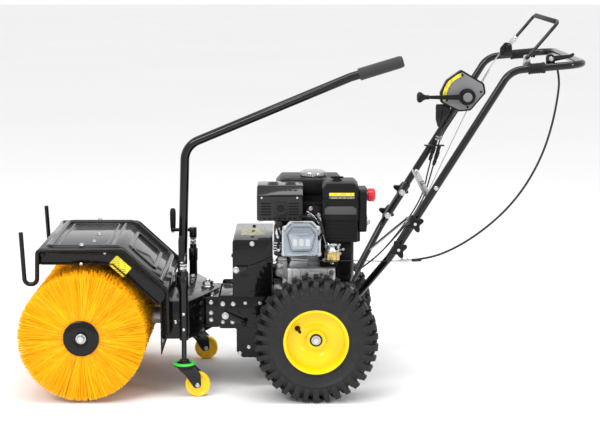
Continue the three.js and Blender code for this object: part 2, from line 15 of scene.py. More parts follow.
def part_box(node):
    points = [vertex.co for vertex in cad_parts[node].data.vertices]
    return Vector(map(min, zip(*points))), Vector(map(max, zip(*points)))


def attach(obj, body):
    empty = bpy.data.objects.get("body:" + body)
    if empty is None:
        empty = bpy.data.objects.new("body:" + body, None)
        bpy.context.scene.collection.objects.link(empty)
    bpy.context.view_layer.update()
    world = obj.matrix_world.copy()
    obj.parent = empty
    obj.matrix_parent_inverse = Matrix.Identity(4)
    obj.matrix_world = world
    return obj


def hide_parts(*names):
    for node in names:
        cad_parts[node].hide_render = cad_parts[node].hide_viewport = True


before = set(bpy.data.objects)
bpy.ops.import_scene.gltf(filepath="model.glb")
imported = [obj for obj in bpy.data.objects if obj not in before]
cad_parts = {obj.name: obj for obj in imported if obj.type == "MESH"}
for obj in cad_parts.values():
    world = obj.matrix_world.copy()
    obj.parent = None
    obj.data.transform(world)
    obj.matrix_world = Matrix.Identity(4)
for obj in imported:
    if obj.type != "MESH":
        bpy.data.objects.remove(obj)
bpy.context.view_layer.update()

MM = 0.001
AXLE_LOW, AXLE_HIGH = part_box("axle")
AXLE_X = (AXLE_LOW.x + AXLE_HIGH.x) / 2 / MM
X_AXIS, Y_AXIS, Z_AXIS = (1, 0, 0), (0, 1, 0), (0, 0, 1)
SIDES = (("left", 1), ("right", -1))
TAU = 2 * math.pi

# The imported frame's driving sizes, in millimetres.
TYRE_R, TRACK = 165, 238
BRUSH_X, BRUSH_Z, BRUSH_R, BRUSH_HALF, BRUSH_GAP = -618, 177, 170, 295, 36
CASTER_X, CASTER_Y, CASTER_TRAIL, CASTER_R = -353, 212.5, 36, 33.5
BAR_Y = 276
PIVOT_X, PIN_HOLE_R = -300, 10.6


def metres(x, y, z):
    return Vector(((x + AXLE_X) * MM, y * MM, z * MM))


# ---- points and outlines ----------------------------------------------------

def rounded(corners, step=12):
    """Points of a path of (x, y, z) corners; a fourth number rounds its corner with that radius."""
    points = []
    for i, corner in enumerate(corners):
        here = Vector(corner[:3])
        radius = corner[3] if len(corner) > 3 else 0
        if not radius or i in (0, len(corners) - 1):
            points.append(here)
            continue
        before = (Vector(corners[i - 1][:3]) - here).normalized()
        after = (Vector(corners[i + 1][:3]) - here).normalized()
        half = before.angle(after) / 2
        centre = here + (before + after).normalized() * (radius / math.sin(half))
        start = here + before * (radius / math.tan(half)) - centre
        end = here + after * (radius / math.tan(half)) - centre
        sweep = start.angle(end)
        count = max(2, math.ceil(math.degrees(sweep) / step))
        for k in range(count + 1):
            share = k / count
            a = math.sin(sweep * (1 - share)) / math.sin(sweep)
            b = math.sin(sweep * share) / math.sin(sweep)
            points.append(centre + start * a + end * b)
    return points


def flat_rounded(corners, radius, step=15):
    """A closed outline of (x, y) corners with every corner rounded."""
    ring = [(x, y, 0, radius) for x, y in corners]
    points = rounded([ring[-1], *ring, ring[0]], step)[1:-1]
    return [(p.x, p.y) for p in points]


def plate_line(corners, step=15):
    """A closed outline of (x, z) corners; a third number rounds its corner with that radius."""
    path = [(x, 0, z, *radius) for x, z, *radius in corners]
    return [(p.x, p.z) for p in rounded([*path, path[0]], step)[:-1]]


def panel(left, low, right, high, radius):
    """A rectangle with rounded corners."""
    return flat_rounded([(left, low), (right, low), (right, high), (left, high)], radius)


def grown(outline, middle, share):
    """An outline made larger or smaller about a point."""
    return [(middle[0] + (u - middle[0]) * share, middle[1] + (v - middle[1]) * share) for u, v in outline]


def circle(x, y, radius, count=32):
    steps = [TAU * k / count for k in range(count)]
    return [(x + radius * math.cos(a), y + radius * math.sin(a)) for a in steps]


def span(side, near, far):
    """Two distances from the middle plane as a low and a high Y on one side of it."""
    return sorted((side * near, side * far))


def around(at, share, axis):
    """A place at a point, turned about an axis by a share of a full turn."""
    return Matrix.Translation(at) @ Matrix.Rotation(TAU * share, 4, axis)


def folded(line, thickness):
    """The closed outline of a bent sheet that follows a line, its thickness to the right of it."""
    outer = rounded(line, 8)
    inner = []
    for i, p in enumerate(outer):
        before, after = outer[max(i - 1, 0)], outer[min(i + 1, len(outer) - 1)]
        run = (after - before).normalized()
        inner.append(p + Vector((run.z, 0, -run.x)) * thickness)
    return [(p.x, p.z) for p in outer] + [(p.x, p.z) for p in reversed(inner)]


def smooth_curve(points, count):
    """Evenly spaced points along a centripetal Catmull-Rom curve through the given ones."""
    ends = [2 * Vector(points[0]) - Vector(points[1])]
    ends += [Vector(p) for p in points]
    ends.append(2 * Vector(points[-1]) - Vector(points[-2]))
    dense = []
    for p0, p1, p2, p3 in zip(ends, ends[1:], ends[2:], ends[3:]):
        t = [0.0]
        for a, b in ((p0, p1), (p1, p2), (p2, p3)):
            t.append(t[-1] + max((b - a).length, 1e-6) ** 0.5)
        for k in range(24):
            u = t[1] + (t[2] - t[1]) * k / 24
            a1 = p0.lerp(p1, (u - t[0]) / (t[1] - t[0]))
            a2 = p1.lerp(p2, (u - t[1]) / (t[2] - t[1]))
            a3 = p2.lerp(p3, (u - t[2]) / (t[3] - t[2]))
            b1 = a1.lerp(a2, (u - t[0]) / (t[2] - t[0]))
            b2 = a2.lerp(a3, (u - t[1]) / (t[3] - t[1]))
            dense.append(b1.lerp(b2, (u - t[1]) / (t[2] - t[1])))
    dense.append(Vector(points[-1]))
    run = [0.0]
    for a, b in zip(dense, dense[1:]):
        run.append(run[-1] + (b - a).length)
    wanted = np.linspace(0, run[-1], count)
    rows = np.array([tuple(p) for p in dense])
    return [Vector([np.interp(w, run, rows[:, i]) for i in range(3)]) for w in wanted]


# ---- the shape builder -------------------------------------------------------

def turn_to(direction, spin=0.0):
    """The turn that takes +Z to a direction, after a spin about +Z."""
    quaternion = Vector(Z_AXIS).rotation_difference(Vector(direction))
    return quaternion.to_matrix().to_4x4() @ Matrix.Rotation(spin, 4, "Z")


class Shape:
    """Gathers the closed surfaces of one piece. Each call adds one surface with a finish number."""

    def __init__(self):
        self.verts, self.faces, self.marks = [], [], []

    def add(self, verts, faces, mark=0, place=None):
        start = len(self.verts)
        if place is not None:
            verts = [place @ Vector(v) for v in verts]
        self.verts.extend(tuple(v) for v in verts)
        self.faces.extend(tuple(start + i for i in face) for face in faces)
        self.marks.extend([mark] * len(faces))
        return self

    def add_bmesh(self, mesh, mark=0, place=None):
        mesh.verts.index_update()
        self.add([v.co.copy() for v in mesh.verts], [[v.index for v in f.verts] for f in mesh.faces], mark,
                 place)
        mesh.free()
        return self

    def turned(self, profile, at, axis=Z_AXIS, sides=48, mark=0, spin=0.0):
        """A turned solid: profile pairs of (radius, height along the axis) from the point at."""
        verts, rings = [], []
        for radius, height in profile:
            if radius <= 0:
                rings.append([len(verts)])
                verts.append((0, 0, height))
                continue
            rings.append(list(range(len(verts), len(verts) + sides)))
            for k in range(sides):
                angle = TAU * k / sides
                verts.append((radius * math.cos(angle), radius * math.sin(angle), height))
        faces = []
        for low, high in zip(rings, rings[1:]):
            for k in range(sides):
                a, b = k, (k + 1) % sides
                if len(low) == 1 and len(high) == 1:
                    continue
                if len(low) == 1:
                    faces.append((low[0], high[b], high[a]))
                elif len(high) == 1:
                    faces.append((low[a], low[b], high[0]))
                else:
                    faces.append((low[a], low[b], high[b], high[a]))
        if profile[0] == profile[-1]:
            closing = {i: j for i, j in zip(rings[-1], rings[0])}
            faces = [tuple(closing.get(i, i) for i in face) for face in faces]
            verts = verts[:rings[-1][0]]
        return self.add(verts, faces, mark, Matrix.Translation(at) @ turn_to(axis, spin))

    def disc(self, radius, low, high, at, axis=Z_AXIS, sides=48, mark=0):
        """A plain round, from low to high along its axis."""
        return self.turned([(0, low), (radius, low), (radius, high), (0, high)], at, axis, sides, mark)

    def tube(self, points, radius, sides=16, mark=0, ends=0.35):
        """A round rod along points, its ends softened by a share of its radius. radius may be a list."""
        points = [Vector(p) for p in points]
        radii = list(radius) if isinstance(radius, (list, tuple)) else [radius] * len(points)
        if ends:
            first = (points[1] - points[0]).normalized()
            last = (points[-1] - points[-2]).normalized()
            inset = radii[0] * ends
            points = [points[0], points[0] + first * inset, *points[1:-1], points[-1] - last * inset,
                      points[-1]]
            radii = [radii[0] * (1 - ends), radii[0], *radii[1:-1], radii[-1], radii[-1] * (1 - ends)]
        tangents = []
        for i in range(len(points)):
            ahead = points[min(i + 1, len(points) - 1)] - points[i]
            behind = points[i] - points[max(i - 1, 0)]
            tangents.append((ahead.normalized() + behind.normalized()).normalized())
        side = tangents[0].orthogonal().normalized()
        verts, faces = [], []
        for i, (point, tangent) in enumerate(zip(points, tangents)):
            if i:
                side = tangents[i - 1].rotation_difference(tangent) @ side
            side = (side - tangent * side.dot(tangent)).normalized()
            up = tangent.cross(side)
            for k in range(sides):
                angle = TAU * k / sides
                verts.append(point + (side * math.cos(angle) + up * math.sin(angle)) * radii[i])
        for i in range(len(points) - 1):
            for k in range(sides):
                a, b = i * sides + k, i * sides + (k + 1) % sides
                faces.append((a, b, b + sides, a + sides))
        faces.append(tuple(reversed(range(sides))))
        faces.append(tuple(range((len(points) - 1) * sides, len(points) * sides)))
        return self.add(verts, faces, mark)

    def slab(self, outline, low, high, plane="xz", bevel=1.0, mark=0, place=None, holes=()):
        """An outline with a thickness from low to high along the axis that the plane leaves out."""
        mesh = bmesh.new()
        lift = {"xz": lambda u, v, w: (u, w, v), "xy": lambda u, v, w: (u, v, w), "yz": lambda u, v,
                w: (w, u, v)}
        to = lift[plane]
        rings = [list(outline), *holes]
        edges = []
        for ring in rings:
            loop = [mesh.verts.new(to(u, v, low)) for u, v in ring]
            edges += [mesh.edges.new((a, b)) for a, b in zip(loop, loop[1:] + loop[:1])]
        bmesh.ops.triangle_fill(mesh, edges=edges, use_beauty=True, use_dissolve=False)
        if not holes:
            bmesh.ops.dissolve_limit(mesh, angle_limit=0.01, verts=mesh.verts, edges=mesh.edges)
        bottom = list(mesh.faces)
        made = bmesh.ops.extrude_face_region(mesh, geom=bottom)
        moved = [v for v in made["geom"] if isinstance(v, bmesh.types.BMVert)]
        bmesh.ops.translate(mesh, verts=moved, vec=Vector(to(0, 0, high - low)))
        bmesh.ops.recalc_face_normals(mesh, faces=mesh.faces)
        if bevel:
            sharp = [e for e in mesh.edges if len(e.link_faces) == 2 and e.calc_face_angle() > 0.6]
            bmesh.ops.bevel(mesh, geom=sharp, offset=bevel, segments=2, profile=0.5, affect="EDGES",
                            clamp_overlap=True)
        return self.add_bmesh(mesh, mark, place)

    def block(self, low, high, bevel=1.5, mark=0, place=None, segments=2):
        mesh = bmesh.new()
        size = [h - l for l, h in zip(low, high)]
        middle = [(l + h) / 2 for l, h in zip(low, high)]
        scale = Matrix.Diagonal((*size, 1))
        bmesh.ops.create_cube(mesh, size=1, matrix=Matrix.Translation(middle) @ scale)
        if bevel:
            bmesh.ops.bevel(mesh, geom=list(mesh.edges), offset=min(bevel, min(size) * 0.45),
                            segments=segments,
                            profile=0.5, affect="EDGES")
        return self.add_bmesh(mesh, mark, place)

    def bolt(self, at, axis, across=13, mark=0, washer=True, spin=0.2):
        """A hexagon head with a chamfered top on a washer, standing on the point at."""
        lift = 0.0
        if washer:
            r = across * 0.74
            self.turned([(0, 0), (r, 0), (r, 1.2), (r - 0.6, 1.8), (0, 1.8)], at, axis, 24, mark)
            lift = 1.7
        height = across * 0.42
        r = across * 0.577
        head = [(0, lift), (r, lift), (r, lift + height * 0.75), (r * 0.84, lift + height),
                (0, lift + height)]
        return self.turned(head, at, axis, 6, mark, spin)

    def dome(self, at, axis, radius, height, mark=0, sides=20):
        """A button head."""
        steps = 5
        profile = [(0, 0), (radius, 0)]
        for k in range(1, steps + 1):
            angle = k / steps * math.pi / 2
            profile.append((radius * math.cos(angle) if k < steps else 0, height * math.sin(angle)))
        return self.turned(profile, at, axis, sides, mark)

    def made(self, name, body, finishes, slot=None, replaces=(), sharp=38):
        """The finished piece, riding on its body."""
        mesh = bpy.data.meshes.new(name)
        co = np.array(self.verts, float)
        co[:, 0] += AXLE_X
        mesh.from_pydata((co * MM).tolist(), [], self.faces)
        finishes = finishes if isinstance(finishes, (list, tuple)) else [finishes]
        for finish in finishes:
            mesh.materials.append(finish)
        mesh.polygons.foreach_set("material_index", self.marks)
        work = bmesh.new()
        work.from_mesh(mesh)
        bmesh.ops.recalc_face_normals(work, faces=work.faces)
        work.to_mesh(mesh)
        work.free()
        mesh.shade_smooth()
        mesh.set_sharp_from_angle(angle=math.radians(sharp))
        piece = bpy.data.objects.new(name, mesh)
        bpy.context.scene.collection.objects.link(piece)
        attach(piece, body)
        if replaces:
            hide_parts(*replaces)
        return piece


# ---- finishes ----------------------------------------------------------------

class Value:
    """A shader socket that can be used in sums."""

    def __init__(self, finish, socket):
        self.finish, self.socket = finish, socket

    def sum(self, operation, *others):
        return self.finish.node("ShaderNodeMath", {"operation": operation}, dict(enumerate((self, *others))))

    def __add__(self, other):
        return self.sum("ADD", other)

    def __sub__(self, other):
        return self.sum("SUBTRACT", other)

    def __rsub__(self, other):
        return self.finish.node("ShaderNodeMath", {"operation": "SUBTRACT"}, {0: other, 1: self})

    def __mul__(self, other):
        return self.sum("MULTIPLY", other)

    def __truediv__(self, other):
        return self.sum("DIVIDE", other)

    __radd__ = __add__
    __rmul__ = __mul__

    def between(self, low, high):
        """0 below low, 1 above high, smooth between."""
        settings = {"interpolation_type": "SMOOTHSTEP"}
        return self.finish.node("ShaderNodeMapRange", settings, {0: self, 1: low, 2: high})


class Finish:
    """One material: a Principled shader with node-made colour, roughness and grain."""

    def __init__(self, name, **constants):
        self.material = bpy.data.materials.new(name)
        self.material.use_nodes = True
        self.tree = self.material.node_tree
        self.shader = self.tree.nodes["Principled BSDF"]
        for socket, value in constants.items():
            self.shader.inputs[socket.replace("_", " ")].default_value = value

    def node(self, kind, settings=None, inputs=None, output=0):
        made = self.tree.nodes.new(kind)
        for key, value in (settings or {}).items():
            if key == "stops":
                ramp = made.color_ramp
                while len(ramp.elements) < len(value):
                    ramp.elements.new(0.5)
                for element, (place, colour) in zip(ramp.elements, value):
                    element.position, element.color = place, (*colour, 1)
            else:
                setattr(made, key, value)
        for key, value in (inputs or {}).items():
            if isinstance(value, Value):
                self.tree.links.new(value.socket, made.inputs[key])
            else:
                made.inputs[key].default_value = value
        return Value(self, made.outputs[output])

    def feed(self, socket, value):
        self.tree.links.new(value.socket, self.shader.inputs[socket])

    def place(self):
        return self.node("ShaderNodeTexCoord", output="Object")

    def noise(self, scale, detail=3.0, roughness=0.5, where=None, stretch=None):
        where = where or self.place()
        if stretch:
            where = self.node("ShaderNodeVectorMath", {"operation": "MULTIPLY"}, {0: where, 1: stretch})
        inputs = {"Vector": where, "Scale": scale, "Detail": detail, "Roughness": roughness}
        return self.node("ShaderNodeTexNoise", None, inputs)

    def mix(self, factor, a, b):
        """A colour between two, each a tuple or a socket."""
        a, b = ((*c, 1) if isinstance(c, tuple) else c for c in (a, b))
        return self.node("ShaderNodeMix", {"data_type": "RGBA"}, {0: factor, 6: a, 7: b}, 2)

    def bump(self, height, strength, distance=0.001):
        grain = self.node("ShaderNodeBump", None,
                          {"Strength": strength, "Distance": distance, "Height": height})
        self.feed("Normal", grain)

    def upward(self):
        """How far a surface faces the sky, from 0 to 1."""
        normal = self.node("ShaderNodeNewGeometry", output="Normal")
        return self.node("ShaderNodeSeparateXYZ", None, {0: normal}, 2).between(0.2, 1.0)


def gloss_paint(name, colour, dust, rough=0.22, coat=0.85, coat_ior=1.33):
    """Sprayed enamel: a faint orange peel, uneven gloss, and on what faces up a paler tint that is partly
    settled dust and partly painted sheen.
    """
    finish = Finish(name, Coat_Weight=coat, Coat_IOR=coat_ior, Coat_Roughness=0.07, Specular_IOR_Level=0.06)
    cloud = finish.noise(9, 4, 0.6)
    fine = finish.noise(160, 3)
    speck = finish.noise(620, 2).between(0.66, 0.74)
    top_dust_and_sheen = finish.upward() * (0.25 + 0.5 * cloud)
    worn = finish.mix(cloud, tuple(c * 0.8 for c in colour), tuple(min(1, c * 1.25) for c in colour))
    # Up-facing surfaces move towards the second colour: settled dust, and a painted sheen that lightens the
    # tops.
    finish.feed("Base Color", finish.mix(top_dust_and_sheen * 0.3 + speck * 0.015, worn, dust))
    finish.feed("Roughness", rough + 0.12 * fine + 0.14 * top_dust_and_sheen)
    finish.bump(fine * 0.7 + 0.3 * finish.noise(420, 2), 0.05, 0.0006)
    return finish.material


def plated(name, colour, rough, grain=300, metallic=1.0):
    """Bright plated steel or machined metal, with faint staining."""
    finish = Finish(name, Metallic=metallic)
    stain = finish.noise(45, 4, 0.65)
    finish.feed("Base Color", finish.mix(stain, tuple(c * 0.72 for c in colour), colour))
    finish.feed("Roughness", rough + 0.22 * stain * finish.noise(grain, 2))
    finish.bump(finish.noise(grain, 3), 0.12, 0.0004)
    return finish.material


def moulded(name, colour, rough=0.5, grain=900, strength=0.25, tint=1.5, shine=0.25):
    """Moulded plastic or rubber with a fine spark-eroded grain."""
    finish = Finish(name, Specular_IOR_Level=shine)
    cloud = finish.noise(14, 3)
    pore = finish.noise(grain, 3, 0.6)
    finish.feed("Base Color",
                finish.mix(cloud * 0.6 + pore * 0.4, colour, tuple(min(1, c * tint) for c in colour)))
    finish.feed("Roughness", rough + 0.18 * cloud - 0.08 * pore)
    finish.bump(pore, strength, 0.0005)
    return finish.material


def tyre_rubber():
    """Black rubber in cloudy patches of deeper and lighter black, with dust in its grain."""
    finish = Finish("tyre_rubber", Specular_IOR_Level=0.3)
    cloud = finish.noise(22, 4, 0.65)
    pore = finish.noise(700, 3, 0.6)
    dust = finish.noise(60, 5, 0.7).between(0.45, 0.8)
    rubber = finish.mix(cloud, (0.006, 0.006, 0.0065), (0.015, 0.015, 0.016))
    finish.feed("Base Color", finish.mix(dust * 0.5, rubber, (0.030, 0.029, 0.028)))
    finish.feed("Roughness", 0.38 + 0.2 * cloud + 0.1 * pore)
    finish.bump(pore + 0.6 * cloud, 0.35, 0.0006)
    return finish.material


def bristle_nylon(name, deep, pale):
    """Stiff orange filament: streaks along each strand, and a painted highlight that turns it paler and
    yellower towards the tips, so it reads deeper towards the core.
    """
    finish = Finish(name, Specular_IOR_Level=0.2)
    from_shaft = finish.node("ShaderNodeVectorMath", {"operation": "SUBTRACT"},
                             {0: finish.place(), 1: tuple(metres(BRUSH_X, 0, BRUSH_Z))})
    flat = finish.node("ShaderNodeVectorMath", {"operation": "MULTIPLY"}, {0: from_shaft, 1: (1, 0, 1)})
    around = finish.node("ShaderNodeVectorMath", {"operation": "NORMALIZE"}, {0: flat})
    along_shaft = finish.node("ShaderNodeVectorMath", {"operation": "MULTIPLY"},
                              {0: from_shaft, 1: (0, 9, 0)})
    lane = finish.node("ShaderNodeVectorMath", {"operation": "ADD"}, {0: around, 1: along_shaft})
    strand = finish.noise(90, 2, 0.6, where=lane)
    tuft = finish.noise(16, 3, 0.6, where=lane)
    reach = finish.node("ShaderNodeVectorMath", {"operation": "LENGTH"}, {0: flat}, "Value") / (BRUSH_R * MM)
    shade = strand * 0.55 + tuft * 0.45
    body = finish.mix(shade.between(0.3, 0.62), deep, pale)
    # Paler and yellower towards the outer radius: a painted highlight on the bristle tips.
    finish.feed("Base Color", finish.mix(reach.between(0.7, 1.02) * 0.35, body, (1.0, 0.60, 0.004)))
    finish.feed("Roughness", 0.42 + 0.25 * strand)
    finish.bump(strand, 0.25, 0.0008)
    return finish.material


def foam_rubber():
    """Closed-cell foam: open pores over a soft dark grey."""
    finish = Finish("grip_foam", Sheen_Weight=0.2)
    cell = finish.node("ShaderNodeTexVoronoi", None, {"Vector": finish.place(), "Scale": 900.0}, "Distance")
    cloud = finish.noise(40, 3)
    finish.feed("Base Color",
                finish.mix(cell * 0.6 + cloud * 0.4, (0.010, 0.010, 0.011), (0.034, 0.034, 0.036)))
    finish.feed("Roughness", 0.78 + 0.12 * cloud)
    finish.bump(cell + 0.4 * cloud, 0.55, 0.0008)
    return finish.material


def sticker(name, ground, ink, bars):
    """A printed label with blank blocks of ink in place of words."""
    finish = Finish(name, Coat_Weight=0.3)
    wave = finish.node("ShaderNodeTexWave", {"bands_direction": "Z", "wave_profile": "SIN"},
                       {"Vector": finish.place(), "Scale": bars, "Distortion": 0.0}, 1)
    block = finish.noise(120, 1, where=finish.place(), stretch=(1.0, 1.0, 0.25)).between(0.46, 0.5)
    finish.feed("Base Color", finish.mix(wave.between(0.55, 0.7) * block * 0.75, ground, ink))
    finish.feed("Roughness", 0.35 + 0.1 * finish.noise(60))
    return finish.material


# Each enamel's second colour goes on up-facing surfaces as settled dust and painted sheen; the rim's paler
# yellow is painted sheen alone.
BLACK = gloss_paint("black_enamel", (0.0028, 0.0028, 0.003), (0.08, 0.078, 0.075))
FRAME_BLACK = gloss_paint("frame_enamel", (0.002, 0.002, 0.0022), (0.05, 0.049, 0.048), 0.26, 0.85, 1.42)
YELLOW = gloss_paint("rim_enamel", (0.97, 0.58, 0.0005), (1.0, 0.62, 0.01), 0.16, 0.8, 1.42)
ZINC = plated("zinc_plate", (0.66, 0.67, 0.69), 0.24)
CHROME = plated("polished_steel", (0.62, 0.63, 0.65), 0.09, 120)
DARK_STEEL = plated("blackened_steel", (0.035, 0.036, 0.040), 0.2, 160, 0.8)
CAST = plated("cast_aluminium", (0.66, 0.67, 0.69), 0.33, 520, 0.7)
POLISHED = plated("polished_aluminium", (0.38, 0.43, 0.48), 0.11, 160)
SATIN_BLACK = moulded("heat_black", (0.014, 0.0135, 0.014), 0.4, 500, 0.2, shine=0.3)
BRASS = plated("brass", (0.66, 0.50, 0.20), 0.22)
STEEL_WIRE = plated("steel_wire", (0.45, 0.46, 0.48), 0.3)
TYRE = tyre_rubber()
BRISTLE = bristle_nylon("bristle_nylon", (0.95, 0.34, 0.001), (1.0, 0.56, 0.001))
# The roots finish is the same filament in deeper reds: painted shade deep in the bristle pack, seen between
# the strands.
BRISTLE_SHADED_CORE = bristle_nylon("bristle_roots_painted_shade", (0.62, 0.13, 0.001), (1.0, 0.36, 0.002))
PLASTIC = moulded("black_plastic", (0.0055, 0.0055, 0.006), 0.34, 900, 0.15, shine=0.16)
GREY_PANEL = moulded("grey_panel", (0.060, 0.060, 0.064), 0.5, tint=1.25)
SHEATH = moulded("cable_sheath", (0.010, 0.010, 0.010), 0.38, 500, 0.1)
RUBBER = moulded("grip_rubber", (0.006, 0.006, 0.0065), 0.55, 600, 0.35)
RED = moulded("red_plastic", (0.62, 0.012, 0.02), 0.28, 700, 0.08, 1.2, 0.5)
AMBER = moulded("amber_polyurethane", (0.98, 0.56, 0.003), 0.3, 300, 0.08, 1.1, 0.5)
GREEN = moulded("green_seal", (0.03, 0.55, 0.04), 0.35, 400, 0.05, 1.2, 0.5)
FOAM = foam_rubber()
WARNING = sticker("warning_label", (0.86, 0.72, 0.005), (0.05, 0.045, 0.01), 60.0)
PLATE_LABEL = sticker("plate_label", (0.10, 0.10, 0.098), (0.50, 0.46, 0.16), 90.0)
SELECTOR_GREY = moulded("selector_face", (0.13, 0.13, 0.135), 0.35, tint=1.4, shine=0.4)
YELLOW_INK = sticker("scale_strip", (0.78, 0.62, 0.01), (0.05, 0.05, 0.03), 160.0)


# ---- camera and light --------------------------------------------------------

SENSOR_MM, LENS_MM = 36.0, 102.8
CAMERA_PLACE = (-42.6, -4692, 1201)
CAMERA_PITCH = 8.919


def camera():
    data = bpy.data.cameras.new("camera")
    data.sensor_width, data.lens = SENSOR_MM, LENS_MM
    data.clip_end = 60
    eye = bpy.data.objects.new("camera", data)
    eye.location = metres(*CAMERA_PLACE)
    eye.rotation_euler = (math.radians(90 - CAMERA_PITCH), 0, 0)
    bpy.context.scene.collection.objects.link(eye)
    bpy.context.scene.camera = eye


def soft_box(name, place, target, size, watts):
    data = bpy.data.lights.new(name, "AREA")
    data.shape, data.size, data.size_y, data.energy = "RECTANGLE", *size, watts
    lamp = bpy.data.objects.new(name, data)
    lamp.location = place
    lamp.rotation_euler = (Vector(target) - Vector(place)).to_track_quat("-Z", "Y").to_euler()
    bpy.context.scene.collection.objects.link(lamp)


def studio():
    world = bpy.data.worlds.new("studio")
    world.use_nodes = True
    world.node_tree.nodes["Background"].inputs[0].default_value = (1, 1, 1, 1)
    world.node_tree.nodes["Background"].inputs[1].default_value = 1.0
    bpy.context.scene.world = world
    bpy.context.scene.view_settings.view_transform = "Standard"
    middle = (0, 0, 0.4)
    soft_box("key", (-2.2, -3.4, 3.2), middle, (2.6, 0.7), 90)
    soft_box("fill", (3.2, -2.8, 1.8), middle, (0.5, 2.0), 36)
    soft_box("top", (0.2, -0.6, 3.4), middle, (3.4, 0.6), 62)
    floor = bpy.data.meshes.new("floor")
    reach = 30
    floor.from_pydata([(-reach, -reach, 0), (reach, -reach, 0), (reach, reach, 0), (-reach, reach, 0)], [],
                      [(0, 1, 2, 3)])
    pale = Finish("pale_floor", Specular_IOR_Level=0.1)
    pale.feed("Base Color", pale.mix(pale.noise(0.6, 2), (0.86, 0.86, 0.86), (0.90, 0.90, 0.90)))
    pale.feed("Roughness", 0.75 + 0.1 * pale.noise(3))
    floor.materials.append(pale.material)
    ground = bpy.data.objects.new("floor", floor)
    bpy.context.scene.collection.objects.link(ground)


camera()
studio()


# ---- the clutch cable ----------------------------------------------------------

CABLE_ROUTE = [(622.3, -247, 893), (628, -247, 862), (629, -250, 838), (614, -257, 746), (586, -264, 658),
               (541, -268, 574), (482, -271, 503), (399, -274, 437), (325, -276, 399), (265, -276, 385),
               (200, -273, 380), (91, -252, 377), (-16, -216, 370), (-71, -188, 365), (-118, -162, 358),
               (-150, -152, 348), (-180, -149, 340)]
CABLE_R = 2.8
SHEATH_SHARE = 0.62      # the rest of the route is the bare inner wire beyond the adjuster


def clutch_cable():
    route = smooth_curve(CABLE_ROUTE, 90)
    radii = []
    for i in range(len(route)):
        share = i / (len(route) - 1)
        radii.append(CABLE_R if share < SHEATH_SHARE else 1.1)
    cable = Shape().tube(route, radii, 14).made("clutch_cable", "chassis", SHEATH, "black_plastic",
                                                ["brush_clutch_cable"])
    fittings = Shape()
    joint = int(SHEATH_SHARE * (len(route) - 1))
    run = (route[joint + 1] - route[joint]).normalized()
    start = route[joint] - run * 16
    boot = [(2.9, -26), (4.2, -22), (4.2, -6), (3.6, 0), (0, 0)]
    fittings.turned([(0, -26), *boot], start, run, 16, 1)
    fittings.turned([(0, 0), (3.2, 0), (3.2, 34), (2.4, 36), (0, 36)], start + run * 0.3, run, 16, 0)
    for at in (8, 22):
        fittings.disc(5.6, at, at + 5, start, run, 6, 0)
    adjuster = fittings.made("cable_adjuster", "chassis", [ZINC, SHEATH], "zinc_plate")


clutch_cable()


# ---- brush ---------------------------------------------------------------------

BRISTLE_W = 1.5          # a bundle of filaments, drawn as one strand
CAP_R = 47.5
END_STRANDS, DRUM_STRANDS = 3400, 6200


def strands(rng, roots, tips, width):
    """Three-sided strands from roots to tips, arrays of shape (n, 3). Returns vertices and faces."""
    run = tips - roots
    run /= np.linalg.norm(run, axis=1, keepdims=True)
    guide = rng.normal(size=run.shape)
    side = np.cross(run, guide)
    side /= np.linalg.norm(side, axis=1, keepdims=True)
    up = np.cross(run, side)
    verts = np.empty((len(run), 6, 3))
    thick = width * rng.uniform(0.7, 1.25, (len(run), 1)) / 2
    for k in range(3):
        angle = TAU * k / 3
        offset = (side * math.cos(angle) + up * math.sin(angle)) * thick
        verts[:, k] = roots + offset
        verts[:, k + 3] = tips + offset * 0.8
    pattern = [(0, 2, 1), (3, 4, 5), (0, 1, 4, 3), (1, 2, 5, 4), (2, 0, 3, 5)]
    faces = [tuple(6 * i + k for k in face) for i in range(len(run)) for face in pattern]
    return verts.reshape(-1, 3), faces


